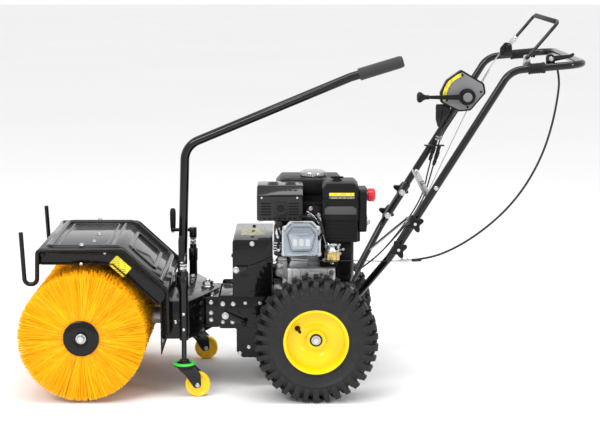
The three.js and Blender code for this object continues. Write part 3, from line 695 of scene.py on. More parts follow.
def brush_half(name, side, seed):
    rng = np.random.default_rng(seed)
    outer, inner = BRUSH_HALF, BRUSH_GAP + 2
    shape = Shape()
    # The solid core takes the roots finish: painted shade between the strands.
    core = [(19.8, inner + 6), (138, inner + 6), (151, inner + 16), (153, outer - 22), (132, outer - 5),
            (60, outer - 2), (19.8, outer - 2), (19.8, inner + 6)]
    shape.turned(core, (BRUSH_X, 0, BRUSH_Z), (0, side, 0), 96, 1)

    # Strands that stand out all round the drum.
    angle = rng.uniform(0, TAU, DRUM_STRANDS)
    across = rng.uniform(inner + 4, outer - 8, DRUM_STRANDS)
    lean = rng.normal(0, 0.022, (DRUM_STRANDS, 2))
    length = BRUSH_R - np.abs(rng.normal(0, 3.2, DRUM_STRANDS))
    root_r = rng.uniform(128, 148, DRUM_STRANDS)
    drum = polar(angle, root_r, across), polar(angle + lean[:, 0], length, across + lean[:, 1] * 200)
    verts, faces = strands(rng, *drum, BRISTLE_W * 1.35)
    place = Matrix.Translation((BRUSH_X, 0, BRUSH_Z)) @ Matrix.Diagonal((1, side, 1, 1))
    shape.add(verts, faces, 0, place)

    # Strands that lie almost flat across the outer end, fanned out from the cap.
    angle = rng.uniform(0, TAU, END_STRANDS)
    layer = rng.uniform(0, 1, END_STRANDS) ** 0.7
    root_r = rng.uniform(36, 122, END_STRANDS)
    tip_r = np.where(rng.uniform(0, 1, END_STRANDS) < 0.8, BRUSH_R - np.abs(rng.normal(0, 3.6, END_STRANDS)),
                     rng.uniform(120, 160, END_STRANDS))
    turn = rng.normal(0, 0.022, END_STRANDS)
    lift = outer - 4 + 4.5 * layer
    flare = rng.normal(0, 1.8, END_STRANDS) - 5 * (1 - layer)
    tip_y = np.clip(lift + flare, outer - 16, outer + 3)
    verts, faces = strands(rng, polar(angle, root_r, lift - 2), polar(angle + turn, tip_r, tip_y), BRISTLE_W)
    shape.add(verts, faces, 0, place)
    shape.made(f"bristles_{name}", "brush_drum", [BRISTLE, BRISTLE_SHADED_CORE], "bristle", [f"brush_{name}"])


def polar(angle, radius, across):
    """Points round the brush shaft, before they are moved to it."""
    return np.stack([radius * np.cos(angle), across, radius * np.sin(angle)], axis=1)


def brush_shaft():
    shape = Shape()
    half = [(15, 0), (15, 36), (19, 36.3), (19, 288)]
    shape.turned([(r, -h) for r, h in reversed(half)] + half[1:], (BRUSH_X, 0, BRUSH_Z), Y_AXIS, 32, 0)
    for _, side in SIDES:
        cap = [(0, 295.3), (CAP_R - 1, 295.3), (CAP_R, 296.3), (CAP_R, 297.6), (CAP_R - 1.4, 299),
               (44, 299.6), (38, 301.6), (27, 303), (20, 302.4), (18, 301), (0, 301)]
        shape.turned(cap, (BRUSH_X, 0, BRUSH_Z), (0, side, 0), 64, 0)
        washer = [(0, 301), (13.5, 301), (13.5, 302.8), (12.8, 303.4), (0, 303.4)]
        shape.turned(washer, (BRUSH_X, 0, BRUSH_Z), (0, side, 0), 32, 1)
        shape.bolt((BRUSH_X, side * 303.2, BRUSH_Z), (0, side, 0), 19, 1, washer=False)
    shape.made("brush_shaft_and_caps", "brush_drum", [BLACK, ZINC], "black_paint", ["brush_shaft"])


def brush_gearbox():
    shape = Shape()
    case = [(16.5, -34), (58, -34), (66, -30), (69.5, -22), (69.5, -4), (73, -4), (73, 4), (69.5, 4),
            (69.5, 22), (66, 30), (58, 34), (16.5, 34), (16.5, -34)]
    shape.turned(case, (BRUSH_X, 0, BRUSH_Z), Y_AXIS, 64, 0)
    for k in range(8):
        angle = TAU * (k + 0.5) / 8
        at = (BRUSH_X + 70 * math.cos(angle), 4, BRUSH_Z + 70 * math.sin(angle))
        shape.bolt(at, Y_AXIS, 7, 1, washer=False)
    drive = [(0, 0), (24, 0), (24, 132), (26, 134), (26, 138), (32, 140), (33, 142), (33, 147), (0, 147)]
    shape.turned(drive, (BRUSH_X + 55, 0, BRUSH_Z), X_AXIS, 40, 0)
    shape.made("drive_gearbox", "carriage", [CAST, ZINC], "cast_alloy", ["brush_gearbox"])


for seed, (side_name, side_sign) in enumerate(SIDES):
    brush_half(side_name, side_sign, 40 + seed)
brush_shaft()
brush_gearbox()


# ---- brush hood and accessory rods -----------------------------------------------

HOOD_FRONT, HOOD_CREST, HOOD_REAR = -738, -522, -398
HOOD_TOP, HOOD_FOOT, HOOD_HALF, HOOD_SKIN = 405, 292, 225.7, 2.4
RIB_Y, RIB_R = 207, 9
SLOPE = math.atan2(HOOD_TOP - HOOD_FOOT, HOOD_REAR - HOOD_CREST)


def on_slope(run, y=0.0, lift=0.0):
    """A point on the hood's slope, run millimetres below the crest and lift above the sheet."""
    return (HOOD_CREST + run * math.cos(SLOPE) + lift * math.sin(SLOPE), y,
            HOOD_TOP - run * math.sin(SLOPE) + lift * math.cos(SLOPE))


def hood_sheet():
    """The bent top sheet and its two side flanges, each a folded plate of even thickness."""
    line = [(HOOD_FRONT, 0, 362), (HOOD_FRONT, 0, HOOD_TOP, 7), (HOOD_CREST, 0, HOOD_TOP, 24),
            (HOOD_REAR, 0, HOOD_FOOT, 10), (HOOD_REAR, 0, 272)]
    outer = rounded(line, 8)
    shape = Shape().slab(folded(line, HOOD_SKIN), -HOOD_HALF, HOOD_HALF, bevel=0.8)
    flange = [(p.x, p.z) for p in outer] + [(-420, 251), (-540, 362)]
    for _, side in SIDES:
        y = span(side, HOOD_HALF, HOOD_HALF - HOOD_SKIN)
        shape.slab(flange, *y, bevel=0.8)
        lip = [(-728, 362), (-540, 362), (-420, 251), (-416, 254.2), (-538.5, 365), (-728, 365)]
        shape.slab(lip, *span(side, HOOD_HALF - 1, HOOD_HALF + 6), bevel=0.9)
    return shape


def rib(shape, corners, radius=RIB_R):
    """A pressed rib: a half-buried rod."""
    shape.tube(rounded(corners, 10), radius, 20)


def rib_loop(shape, corners, radius):
    """A pressed rib that runs back into itself."""
    closed = rounded([corners[-1], *corners, corners[0]], 10)[1:-1]
    rib(shape, [*[tuple(p) for p in closed], tuple(closed[0])], radius)


def hood():
    shape = hood_sheet()
    for _, side in SIDES:
        y = side * RIB_Y
        run = [(-712, y * 0.5, HOOD_TOP - 1.5), (-712, y, HOOD_TOP - 1.5, 22),
               (HOOD_CREST, y, HOOD_TOP - 1.5, 30),
               (*on_slope(146, y, -1.5), 20), on_slope(146, y * 0.5, -1.5)]
        rib(shape, run)
    rib(shape, [(-712, -RIB_Y * 0.52, HOOD_TOP - 1.5), (-712, RIB_Y * 0.52, HOOD_TOP - 1.5)])
    rib(shape, [on_slope(146, -RIB_Y * 0.52, -1.5), on_slope(146, RIB_Y * 0.52, -1.5)])
    rib(shape, [(HOOD_CREST - 22, -188, HOOD_TOP - 2.5), (HOOD_CREST - 22, 188, HOOD_TOP - 2.5)], 5)
    # The raised loop on the slope, and the shallow tray edge on the top.
    loop = [(*on_slope(24, -118, -1), 14), (*on_slope(24, 118, -1), 14), (*on_slope(112, 118, -1), 14),
            (*on_slope(112, -118, -1), 14)]
    rib_loop(shape, loop, 6.5)
    tray = [(-690, -178, HOOD_TOP - 1, 14), (-690, 178, HOOD_TOP - 1, 14), (-560, 178, HOOD_TOP - 1, 14),
            (-560, -178, HOOD_TOP - 1, 14)]
    rib_loop(shape, tray, 3.2)
    for _, side in SIDES:
        shape.bolt((-622, side * 214, HOOD_TOP + 6), Z_AXIS, 10, 1)
        shape.dome((-622, side * (HOOD_HALF + 6), 364), (0, side, 0), 5, 3, 1)
        shape.dome((-560, side * (HOOD_HALF + 0.1), 392), (0, side, 0), 4, 2.4, 1)
        shape.bolt((-724, side * (HOOD_HALF + 0.1), 388), (0, side, 0), 9, 0)
    shape.bolt((-600, 0, HOOD_TOP - 0.3), Z_AXIS, 10, 1)
    shape.bolt((-600, -120, HOOD_TOP - 0.3), Z_AXIS, 8, 1)
    shape.made("brush_hood", "carriage", [BLACK, ZINC], "black_paint", ["brush_cover"])
    label = panel(-26, -17, 26, 17, 2.5)
    middle = on_slope(34, -HOOD_HALF - 0.3, -34)
    turn = Matrix.Translation(middle) @ Matrix.Rotation(SLOPE, 4, "Y")
    Shape().slab(label, -0.5, 0.1, "xz", 0, place=turn).made("hood_label", "carriage", WARNING,
                                                             "yellow_paint")


def accessory_rod(name, side):
    y = side * 232
    line = [(-780, y, 450), (-772.5, y, 310, 15), (-740, y, 310, 15), (-737.5, y, 401, 12),
            (-513, y, 401, 22), (-395, y, 292, 22), (-394, y, 172, 16), (-394, side * 200.3, 172)]
    shape = Shape().tube(rounded(line, 9), 6, 20)
    for x in (-700, -640):
        pad = span(side, 226.2, 231)
        shape.block((x - 6, pad[0], 396), (x + 6, pad[1], 404), 1)
    shape.made(f"rod_{name}", "carriage", BLACK, "black_paint", [f"accessory_rod_{name}"])


hood()
for side_name, side_sign in SIDES:
    accessory_rod(side_name, side_sign)


# ---- road wheels -----------------------------------------------------------------

LUGS = 34
BUTTON_R = 106.08         # the moulded buttons on the sidewall
VALVE_R, VALVE_ANGLE = 58, math.radians(148)
TYRE_SIDE = [(80.6, 46), (80.6, 50), (84, 52), (91, 52.6), (93, 51.4), (96, 51.6), (108, 56.5), (117, 59.6),
             (119, 61.4), (121, 61.4), (123, 60.4), (130, 59.6), (139, 56), (145, 50), (148, 41), (149, 20)]
LUG_SHOULDER = [(38, 145), (50, 140), (55, 124), (60.6, 124.5), (62.2, 129), (62.4, 149), (59, 158),
                (51, 163.8), (30, 165), (28, 146)]
LUG_CENTRE = [(34, 146), (33, 160.6), (3, 161.4), (1, 146)]
RIM_HALF = [(12.8, -24), (24, -24), (28, 2), (45, 12), (64, 8), (76, -8), (76, -46), (80, -52), (83, -53.6),
            (86.4, -53), (86.8, -50.6), (80.2, -49.6), (80.2, 49.6), (86.8, 50.6), (86.4, 53), (83, 53.6),
            (80, 52.4), (77.8, 48), (76.6, 40), (75.4, 28), (73, 22.6), (67, 20.4), (58, 20.1), (48, 19.6),
            (44, 17.4), (38, 13.8), (31, 12.4), (27.6, 13.4), (26.2, 16), (25.6, 22.8), (24.6, 24),
            (12.8, 24), (12.8, -24)]


def both_sides(half):
    """The closed profile of a wheel that is the same on both sides of its middle."""
    profile = [(r, -y) for r, y in half] + [(r, y) for r, y in reversed(half)]
    return [*profile, profile[0]]


def tyre(name, side):
    centre = (0, side * TRACK, TYRE_R)
    shape = Shape().turned(both_sides(TYRE_SIDE), centre, Y_AXIS, 136)
    for k in range(LUGS):
        for hand in (1, -1):
            angle = TAU * k / LUGS
            reach = 1.6 if k % 2 else 0.0
            mirror = Matrix.Diagonal((1, hand, 1, 1))
            place = Matrix.Translation(centre) @ Matrix.Rotation(angle, 4, "Y") @ mirror
            shape.slab(LUG_SHOULDER, -6.6 - reach, 6.6 + reach, "yz", 1.1, 0, place)
            between = Matrix.Translation(centre) @ Matrix.Rotation(angle + math.pi / LUGS, 4, "Y")
            slanted = between @ mirror @ Matrix.Rotation(0.25, 4, "Z")
            shape.slab(LUG_CENTRE, -6.4, 6.4, "yz", 1.0, 0, slanted)
    for k in range(3):
        angle = TAU * (k + 0.2) / 3
        at = (BUTTON_R * math.cos(angle), side * (TRACK + 55.6), TYRE_R + BUTTON_R * math.sin(angle))
        shape.dome(at, (0, side, 0), 3.2, 1.2)
    shape.made(f"tyre_and_tread_{name}", "drive_axle", TYRE, "tyre_rubber", [f"tyre_{name}"], sharp=32)


def rim(name, side):
    centre = (0, side * TRACK, TYRE_R)
    shape = Shape().turned(RIM_HALF, centre, (0, side, 0), 96)
    shape.made(f"rim_disc_{name}", "drive_axle", YELLOW, "yellow_paint", [f"rim_{name}"])
    across, up = math.cos(VALVE_ANGLE), math.sin(VALVE_ANGLE)
    seat = Vector((VALVE_R * across, side * (TRACK + 20), TYRE_R + VALVE_R * up))
    out = Vector((-0.28 * across, side, -0.28 * up)).normalized()
    valve = Shape().turned([(0, -2), (7.5, -2), (7.5, 1.5), (4.6, 4), (3.4, 20), (0, 20)], seat, out, 20)
    valve.turned([(0, 19), (4.2, 19), (4.2, 28), (3.6, 29), (0, 29)], seat, out, 20)
    valve.made(f"tyre_valve_{name}", "drive_axle", RUBBER, "tyre_rubber")


def wheel_axle():
    end = TRACK + 24.4
    shape = Shape()
    shape.turned([(0, -end), (11.6, -end), (12.5, 1 - end), (12.5, end - 1), (11.6, end), (0, end)],
                 (0, 0, TYRE_R), Y_AXIS, 40)
    for _, side in SIDES:
        at, out = (0, side * end, TYRE_R), (0, side, 0)
        shape.turned([(0, -0.2), (17, -0.2), (17, 2.4), (16.4, 3), (0, 3)], at, out, 40, 1)
        shape.bolt((0, side * (end + 2.8), TYRE_R), out, 17, 0)
    shape.made("wheel_axle", "drive_axle", [ZINC, FRAME_BLACK], "zinc_plate", ["axle"])


for side_name, side_sign in SIDES:
    tyre(side_name, side_sign)
    rim(side_name, side_sign)
wheel_axle()


# ---- swivelling carriage ---------------------------------------------------------

CARRIAGE_LOW, CARRIAGE_TOP = 154, 257


def mirrored(points):
    return [*points, *[(x, -y) for x, y in reversed(points)]]


def carriage_box():
    shape = Shape()
    plan = mirrored([(-411, 200), (-340, 200), (-304, 112), (-274, 30), (-266, 12)])
    for low in (CARRIAGE_LOW, CARRIAGE_TOP - 4.5):
        shape.slab(plan, low, low + 4.4, "xy", 1.0, holes=[circle(PIVOT_X, 0, PIN_HOLE_R)])
    for _, side in SIDES:
        for (xa, ya), (xb, yb) in (((-411, 200), (-340, 200)), ((-340, 200), (-304, 112))):
            middle = Vector(((xa + xb) / 2, side * (ya + yb) / 2, 0))
            run = Vector((xb - xa, side * (yb - ya), 0))
            place = Matrix.Translation(middle) @ Matrix.Rotation(math.atan2(run.y, run.x), 4, "Z")
            half = run.length / 2
            inward = span(side, 0.3, -3.7)
            shape.block((-half, inward[0], CARRIAGE_LOW + 3.6), (half, inward[1], CARRIAGE_TOP - 3.8), 0.8, 0,
                        place)
        shape.dome((-376, side * 200, 200), (0, side, 0), 6, 3, 1)
        shape.bolt((-398, side * 176, CARRIAGE_TOP), Z_AXIS, 11, 1)
        shape.bolt((-352, side * 150, CARRIAGE_TOP), Z_AXIS, 11, 1)
    shape.block((-411, -199, CARRIAGE_LOW + 3.6), (-406, 199, CARRIAGE_TOP - 3.8), 0.8)
    shape.turned([(12.9, -1), (16, -1), (19.5, 0), (19.5, 1.6), (16.4, 4), (16.2, 41), (15.2, 43), (12.9, 43),
                  (12.9, -1)], (-370, 0, CARRIAGE_TOP - 0.2), Z_AXIS, 40)
    shape.bolt((-370, -16, CARRIAGE_TOP + 28), (0, -1, 0), 8, 1)
    shape.made("carriage_box", "carriage", [BLACK, ZINC], "black_paint", ["carriage_frame"])


def skirt():
    shape = Shape().block((-415, -222, 140), (-411.3, 222, 290), 0.9)
    shape.block((-414.6, -222, 115.4), (-412.4, 222, 146), 0.6, 1)
    for k in range(7):
        shape.dome((-411.4, -198 + 66 * k, 148), (1, 0, 0), 5, 2.4, 2)
    shape.made("rear_skirt_sheet", "carriage", [BLACK, RUBBER, ZINC], "black_paint", ["rear_skirt"])


def swivel_pin():
    shape = Shape()
    at = (PIVOT_X, 0, CARRIAGE_TOP)
    shape.turned([(0, -112), (14, -112), (15, -111), (15, -103.5), (10, -103.5), (10, 1), (0, 1)], at, Z_AXIS,
                 32)
    shape.turned([(0, 0.2), (18, 0.2), (18, 3), (17.2, 3.8), (0, 3.8)], at, Z_AXIS, 40)
    shape.turned([(0, 3.6), (14.6, 3.6), (14.6, 12), (13.2, 13.6), (0, 13.6)], at, Z_AXIS, 6)
    for k in range(6):
        place = around(at, (k + 0.5) / 6, "Z")
        shape.block((6.4, -3.4, 13), (11.6, 3.4, 17.2), 0.8, 0, place)
    shape.turned([(0, 12), (7, 12), (7, 20.6), (5.6, 22), (0, 22)], at, Z_AXIS, 24)
    cotter = [(PIVOT_X - 12.5, -3, CARRIAGE_TOP + 15.5), (PIVOT_X + 12, 1, CARRIAGE_TOP + 15.5, 2),
              (PIVOT_X + 16, 9, CARRIAGE_TOP + 13)]
    shape.tube(rounded(cotter), 1.3, 8)
    shape.made("swivel_pin_and_nut", "carriage", ZINC, "zinc_plate", ["swivel_pin"])


LEVER_SLOPE = math.atan2(37, 121)
LEVER_GRIP = (119, 848, 127)


def along_grip(s):
    x, z, _ = LEVER_GRIP
    return (x + s * math.cos(LEVER_SLOPE), 0, z + s * math.sin(LEVER_SLOPE))


def swivel_lever():
    length = LEVER_GRIP[2]
    line = [(-370, 0, CARRIAGE_TOP + 2.5), (-370, 0, 305), (-359, 0, 652, 60), (*along_grip(-25), 90),
            along_grip(length - 12)]
    Shape().tube(rounded(line, 5), 12.5, 36).made("swivel_lever_rod", "carriage", FRAME_BLACK, "black_paint",
                                                  ["swivel_lever"])
    grip = [(13.2, 0), (15.6, 0), (17, 1.4), (17.2, 6), (17, length - 14), (16.2, length - 5),
            (14, length - 1), (10, length), (0, length), (0, length - 8), (13.2, length - 8), (13.2, 0)]
    out = Vector(along_grip(1)) - Vector(along_grip(0))
    Shape().turned(grip, along_grip(0), out, 48).made("foam_grip", "carriage", FOAM, "foam",
                                                      ["swivel_lever_grip"])


carriage_box()
skirt()
swivel_pin()
swivel_lever()


# ---- casters ---------------------------------------------------------------------

def caster_post(name, side):
    at = (CASTER_X, side * CASTER_Y, 0)
    post = [(7.1, 154), (11.2, 154), (12, 155), (12, 292), (13.4, 294), (13.4, 327), (12.4, 328.4),
            (10, 328.4), (10, 341), (9.2, 342), (5.5, 342), (5.5, 323), (7.1, 322), (7.1, 154)]
    shape = Shape().turned(post, at, Z_AXIS, 40)
    reach = span(side, 200.3, CASTER_Y - 8)
    shape.block((CASTER_X - 14, reach[0], 170), (CASTER_X + 14, reach[1], 240), 1.2)
    for z in (184, 226):
        shape.dome((CASTER_X, side * (CASTER_Y + 11.6), z), (0, side, 0), 4.2, 2, 1)
    shape.made(f"caster_tube_{name}", "carriage", [FRAME_BLACK, ZINC], "black_paint", [f"caster_post_{name}"])


def caster_stem(name, side):
    at = (CASTER_X, side * CASTER_Y, 0)
    stem = [(0, 96), (12.4, 96), (13, 96.8), (13, 100.2), (12.4, 101), (6.7, 101), (6.7, 285), (5.5, 285),
            (5.5, 130), (0, 130)]
    Shape().turned(stem, at, Z_AXIS, 32).made(f"caster_leg_{name}", f"lift_{name}", DARK_STEEL, "zinc_plate",
                                              [f"caster_stem_{name}"])


def height_crank(name, side, turn):
    at = Vector((CASTER_X, side * CASTER_Y, 0))
    place = Matrix.Translation(at) @ Matrix.Rotation(turn, 4, "Z")
    shape = Shape()
    thread = [(0, 170), (4.2, 170)]
    for k in range(62):
        z = 172 + 3.0 * k
        thread += [(4.2, z), (5.0, z + 1.0), (4.2, z + 2.0)]
    shape.turned([*thread, (4.2, 362), (0, 362)], at, Z_AXIS, 20, 1)
    for low in (345.2, 355.6):
        shape.turned([(4.5, low), (9.6, low), (10.4, low + 1), (10.4, low + 6.4), (9.6, low + 7.4),
                      (4.5, low + 7.4), (4.5, low)], at, Z_AXIS, 6, 1, spin=low)
    shape.turned([(0, 361), (10.6, 361), (11.2, 363), (11.2, 388), (10, 390), (0, 390)], at, Z_AXIS, 32)
    arm = panel(-7.5, -7.5, 65, 7.5, 7)
    shape.slab(arm, 378, 387, "xy", 1.2, 0, place)
    grip = [(0, 386), (6.6, 386), (7.8, 389), (8.6, 410), (8.8, 432), (7.8, 441), (5, 445), (0, 446)]
    shape.turned(grip, place @ Vector((58, 0, 0)), Z_AXIS, 32, 2)
    shape.disc(6, 374.5, 378.4, place @ Vector((58, 0, 0)), Z_AXIS, 6, 1)
    shape.made(f"crank_handle_{name}", f"crank_{name}", [FRAME_BLACK, ZINC, RUBBER], "black_paint",
               [f"height_crank_{name}"])


def caster_fork(name, side):
    x, y, trail = CASTER_X, side * CASTER_Y, CASTER_TRAIL
    shape = Shape()
    dish = [(0, 78), (14, 77), (22, 80.4), (28, 83.6), (29.4, 86.4), (28, 88.6), (22, 90.6), (16, 95.6),
            (0, 95.6)]
    shape.turned(dish, (x, y, 0), Z_AXIS, 48)
    shape.turned([(20, 87), (28.8, 87), (29.6, 88.4), (29.6, 91), (28, 92.4), (20, 92.4), (20, 87)],
                 (x, y, 0),
                 Z_AXIS, 48, 2)
    leg = rounded([(-18, 0, 82), (-16, 0, 88, 4), (22, 0, 88, 6), (44, 0, 66, 8), (46, 0, 28, 9),
                   (28, 0, 24, 9), (4, 0, 60, 10), (-16, 0, 78)], 20)
    for hand in (-1, 1):
        reach = span(hand, 14, 17)
        place = Matrix.Translation((x, y, 0))
        shape.slab([(p.x, p.z) for p in leg], *reach, "xz", 0.7, 0, place)
        shape.bolt((x + trail, y + hand * 16.8, CASTER_R), (0, hand, 0), 8, 1)
    shape.disc(4, -16, 16, (x + trail, y, CASTER_R), Y_AXIS, 20, 1)
    shape.made(f"caster_yoke_{name}", f"fork_{name}", [FRAME_BLACK, ZINC, GREEN], "black_paint",
               [f"caster_fork_{name}"])


def caster_wheel(name, side):
    at = (CASTER_X + CASTER_TRAIL, side * CASTER_Y, CASTER_R)
    half = [(4.4, 11), (11, 11), (12.6, 10), (13.6, 8.6), (17, 7.6), (24, 7.6), (26, 8.8), (28, 10.8),
            (29.4, 11.4), (31.6, 10.6), (33, 8), (33.5, 4)]
    shape = Shape().turned(both_sides(half), at, Y_AXIS, 64)
    for k in range(6):
        for hand in (-1, 1):
            place = around(at, k / 6, "Y")
            low, high = span(hand, 7, 8.8)
            shape.block((12.4, low, -1.2), (26.6, high, 1.2), 0.5, 0, place)
    shape.made(f"castor_tread_{name}", f"castor_{name}", AMBER, "amber_wheel", [f"caster_wheel_{name}"])


CRANK_TURNS = {"left": math.pi, "right": -math.pi / 2}
for side_name, side_sign in SIDES:
    caster_post(side_name, side_sign)
    caster_stem(side_name, side_sign)
    height_crank(side_name, side_sign, CRANK_TURNS[side_name])
    caster_fork(side_name, side_sign)
    caster_wheel(side_name, side_sign)


# ---- chassis ---------------------------------------------------------------------

PLATE_Y, PLATE_INSIDE = 115, 112.7
PLATE_BOLTS = [(-253, 232, 9), (-225, 232, 8.5), (-192, 235, 7), (-152, 235, 7), (-227, 182, 8),
               (-253, 182, 7), (-183, 112, 7), (-207, 95, 7), (80, 236, 8), (84, 102, 8), (-120, 102, 7)]
TONGUE_BOLTS = [(-314, 232, 9), (-286, 232, 8), (-286, 203, 8), (-286, 184, 8)]


def side_plate(name, side):
    outline = plate_line([(105, 256), (-264, 256, 8), (-264, 164, 8), (-216, 164, 5), (-216, 100, 4),
                          (-200, 83, 5), (105, 83, 8)])
    reach = span(side, PLATE_Y - 2, PLATE_Y + 2)
    shape = Shape().slab(outline, *reach, bevel=0.7, holes=[circle(0, TYRE_R, 16)])
    for x, z, across in PLATE_BOLTS:
        shape.bolt((x, side * (PLATE_Y + 2), z), (0, side, 0), across, 1, spin=x * 0.37)
    shape.slab(panel(-247, 187, -241, 222, 3),
               *span(side, PLATE_Y + 1.9, PLATE_Y + 2.5), mark=2, bevel=0)
    for x, z in ((-252, 203), (-208, 209), (-206, 178), (-170, 206)):
        shape.turned([(0, 0), (4.4, 0), (4.4, 0.5), (3.2, 0.5), (0, 0.45)], (x, side * (PLATE_Y + 1.9), z),
                     (0, side, 0), 20, 2)
    shape.made(f"chassis_side_{name}", "chassis", [BLACK, ZINC, RUBBER], "black_paint",
               [f"side_plate_{name}"])


def tongue():
    shape = Shape()
    for low, high, step in ((243, 248, 1), (163, 168, 0)):
        front = [(-324, -97), (-266, -97), (-266, 97), (-324, 97)]
        rear = [(-262, -97), (-204, -97), (-204, 97), (-262, 97)]
        shape.slab(flat_rounded(front, 3), low, high, "xy", 1.2, holes=[circle(PIVOT_X, 0, PIN_HOLE_R)])
        shape.slab(rear, low + 0.4, high - 1.2 * step, "xy", 1.0)
    for _, side in SIDES:
        walls = span(side, 93, 96.9)
        shape.block((-323.5, walls[0], 164), (-204, walls[1], 247), 1.2)
        for low, high in ((171, 188), (222, 241)):
            reach = span(side, 95, PLATE_INSIDE)
            shape.block((-260, reach[0], low), (-205, reach[1], high), 0.8)
        for x, z, across in TONGUE_BOLTS:
            shape.bolt((x, side * 96.9, z), (0, side, 0), across, 1, spin=z * 0.3)
        shape.bolt((-232, side * 78, 246.6), Z_AXIS, 10, 1)
        shape.dome((-284, side * 78, 248), Z_AXIS, 5, 2.4, 1)
    shape.block((-323.8, -94, 166), (-319, 94, 245), 1)
    shape.turned([(10.6, 166), (20, 166), (20, 245), (10.6, 245), (10.6, 166)], (PIVOT_X, 0, 0), Z_AXIS, 32)
    shape.made("hitch_tongue", "chassis", [BLACK, ZINC], "black_paint", ["swivel_tongue"])


def deck():
    shape = Shape().block((-117, -PLATE_INSIDE, 250.2), (112, PLATE_INSIDE, 256), 1)
    shape.block((108, -PLATE_INSIDE, 222), (111.6, PLATE_INSIDE, 252), 1)
    for x in (-84, 48):
        for _, side in SIDES:
            shape.disc(9, 0, 0.25, (x, side * 104, 256), Z_AXIS, 24, 1)
    shape.made("engine_deck_plate", "chassis", [BLACK, ZINC], "black_paint", ["engine_deck"])
    belly = Shape().block((-196, -PLATE_INSIDE, 84), (100, PLATE_INSIDE, 88), 0.8)
    belly.slab(folded([(-196, 0, 88), (-213, 0, 101, 4), (-213, 0, 160)], 3), -112, 112)
    belly.made("belly_sheet", "chassis", BLACK, "black_paint", ["belly_plate"])


def transmission():
    shape = Shape().block((-62, -64, 112), (58, 64, 218), 9, segments=3)
    shape.block((-96, -34, 140), (-54, 34, 196), 6)
    tube = [(15.1, -72), (32, -72), (34, -70), (34, -60), (34, 60), (34, 70), (32, 72), (15.1, 72),
            (15.1, -72)]
    shape.turned(tube, (0, 0, TYRE_R), Y_AXIS, 48)
    shape.block((-66, -2.5, 108), (62, 2.5, 222), 1.5)
    for x in (-56, -20, 16, 52):
        for z, up in ((222, 1), (108, -1)):
            shape.bolt((x, 0, z - up * 0.3), (0, 0, up), 9, 1)
    for k in range(5):
        shape.block((-52 + 22 * k, -66.5, 124), (-48 + 22 * k, 66.5, 206), 1.2)
    shape.made("transmission_housing", "chassis", [CAST, ZINC], "cast_alloy", ["transmission_case"])


BELT_X, BELT_HALF, BELT_TOP = (-225, -118), 139, 413


def belt_cover():
    low = 256.4
    line = [(BELT_X[0], 0, low), (BELT_X[0], 0, BELT_TOP, 8), (BELT_X[1], 0, BELT_TOP, 5),
            (BELT_X[1], 0, low)]
    shape = Shape().slab(folded(line, 2.6), -BELT_HALF, BELT_HALF, bevel=1.0)
    side_line = rounded([(-224.4, 0, low), (-224.4, 0, 412, 7.4), (-118.6, 0, 412, 4.4), (-118.6, 0, low)],
                        10)
    for _, side in SIDES:
        reach = span(side, BELT_HALF - 3, BELT_HALF - 0.2)
        shape.slab([(p.x, p.z) for p in side_line], *reach, bevel=0.8)
        shape.bolt((-172, side * (BELT_HALF - 0.2), 402), (0, side, 0), 9, 1)
        shape.bolt((-170, side * (BELT_HALF - 0.2), 268), (0, side, 0), 9, 0)
    for y in (-92, 0, 92):
        shape.bolt((-172, y, BELT_TOP), Z_AXIS, 8, 0, washer=False)
    for z in (367, 292):
        shape.bolt((BELT_X[0], -120, z), (-1, 0, 0), 9, 0, washer=False)
    # A dark rubber patch stands for the slot in the near face: painted shade.
    slot = panel(-205, 311, -180, 318, 3)
    shape.slab(slot, -BELT_HALF - 0.5, -BELT_HALF + 0.3, bevel=0, mark=2)
    shape.made("belt_guard", "chassis", [BLACK, ZINC, RUBBER], "black_paint", ["belt_cover"])
    label = panel(-204, -58, -138, 58, 4)
    Shape().slab(label, BELT_TOP - 0.2, BELT_TOP + 0.25, "xy", 0).made("belt_guard_label", "chassis",
                                                                       PLATE_LABEL,
                                                                       "yellow_paint")


def clutch_arm():
    x, z, y = -215.4, 331.6, -139.3
    outline = plate_line([(x + 31, z + 9.6), (x + 8, z + 10, 5), (x - 9, z + 8, 7), (x - 10, z - 8, 7),
                          (x + 8, z - 8, 5), (x + 31, z, 2)])
    shape = Shape().slab(outline, y - 8, y - 4.4, bevel=0.8)
    shape.disc(8, 0, 4.6, (x, y, z), (0, -1, 0), 24)
    shape.bolt((x, y - 7.8, z), (0, -1, 0), 12, 1)
    shape.turned([(0, 0), (2.6, 0), (2.6, 4), (1.8, 4.6), (0, 4.6)], (x + 28, y - 7.8, z + 5), (0, -1, 0), 16)
    shape.made("clutch_arm_plate", "clutch_arm_body", [DARK_STEEL, ZINC], "zinc_plate", ["clutch_arm"])


def lock_lever():
    x, z, y = -246, 201, -117.3
    outline = plate_line([(x - 10, z), (x - 10, z - 11, 7), (x + 12, z - 12, 8), (x + 52, z - 28, 4),
                          (x + 58, z - 22, 4), (x + 50, z - 12, 4), (x + 12, z + 6, 10), (x - 8, z + 10, 7)])
    shape = Shape().slab(outline, y - 9.4, y - 5, bevel=1)
    shape.disc(9, 0, 5.4, (x, y, z), (0, -1, 0), 24)
    shape.bolt((x, y - 9.2, z), (0, -1, 0), 13, 1)
    grip = [(0, 4.6), (6, 4.6), (6.4, 10), (6.4, 30), (5, 33.4), (0, 34)]
    shape.turned(grip, (x + 52, y, z - 20), (0, -1, 0), 24, 2)
    shape.made("lock_lever_plate", "swivel_lock", [FRAME_BLACK, ZINC, PLASTIC], "black_paint",
               ["swivel_lock_lever"])


for side_name, side_sign in SIDES:
    side_plate(side_name, side_sign)
tongue()
deck()
transmission()
belt_cover()
clutch_arm()
lock_lever()


# ---- engine ----------------------------------------------------------------------

ENGINE_BASE = 256.3
CRANK_Z = 366


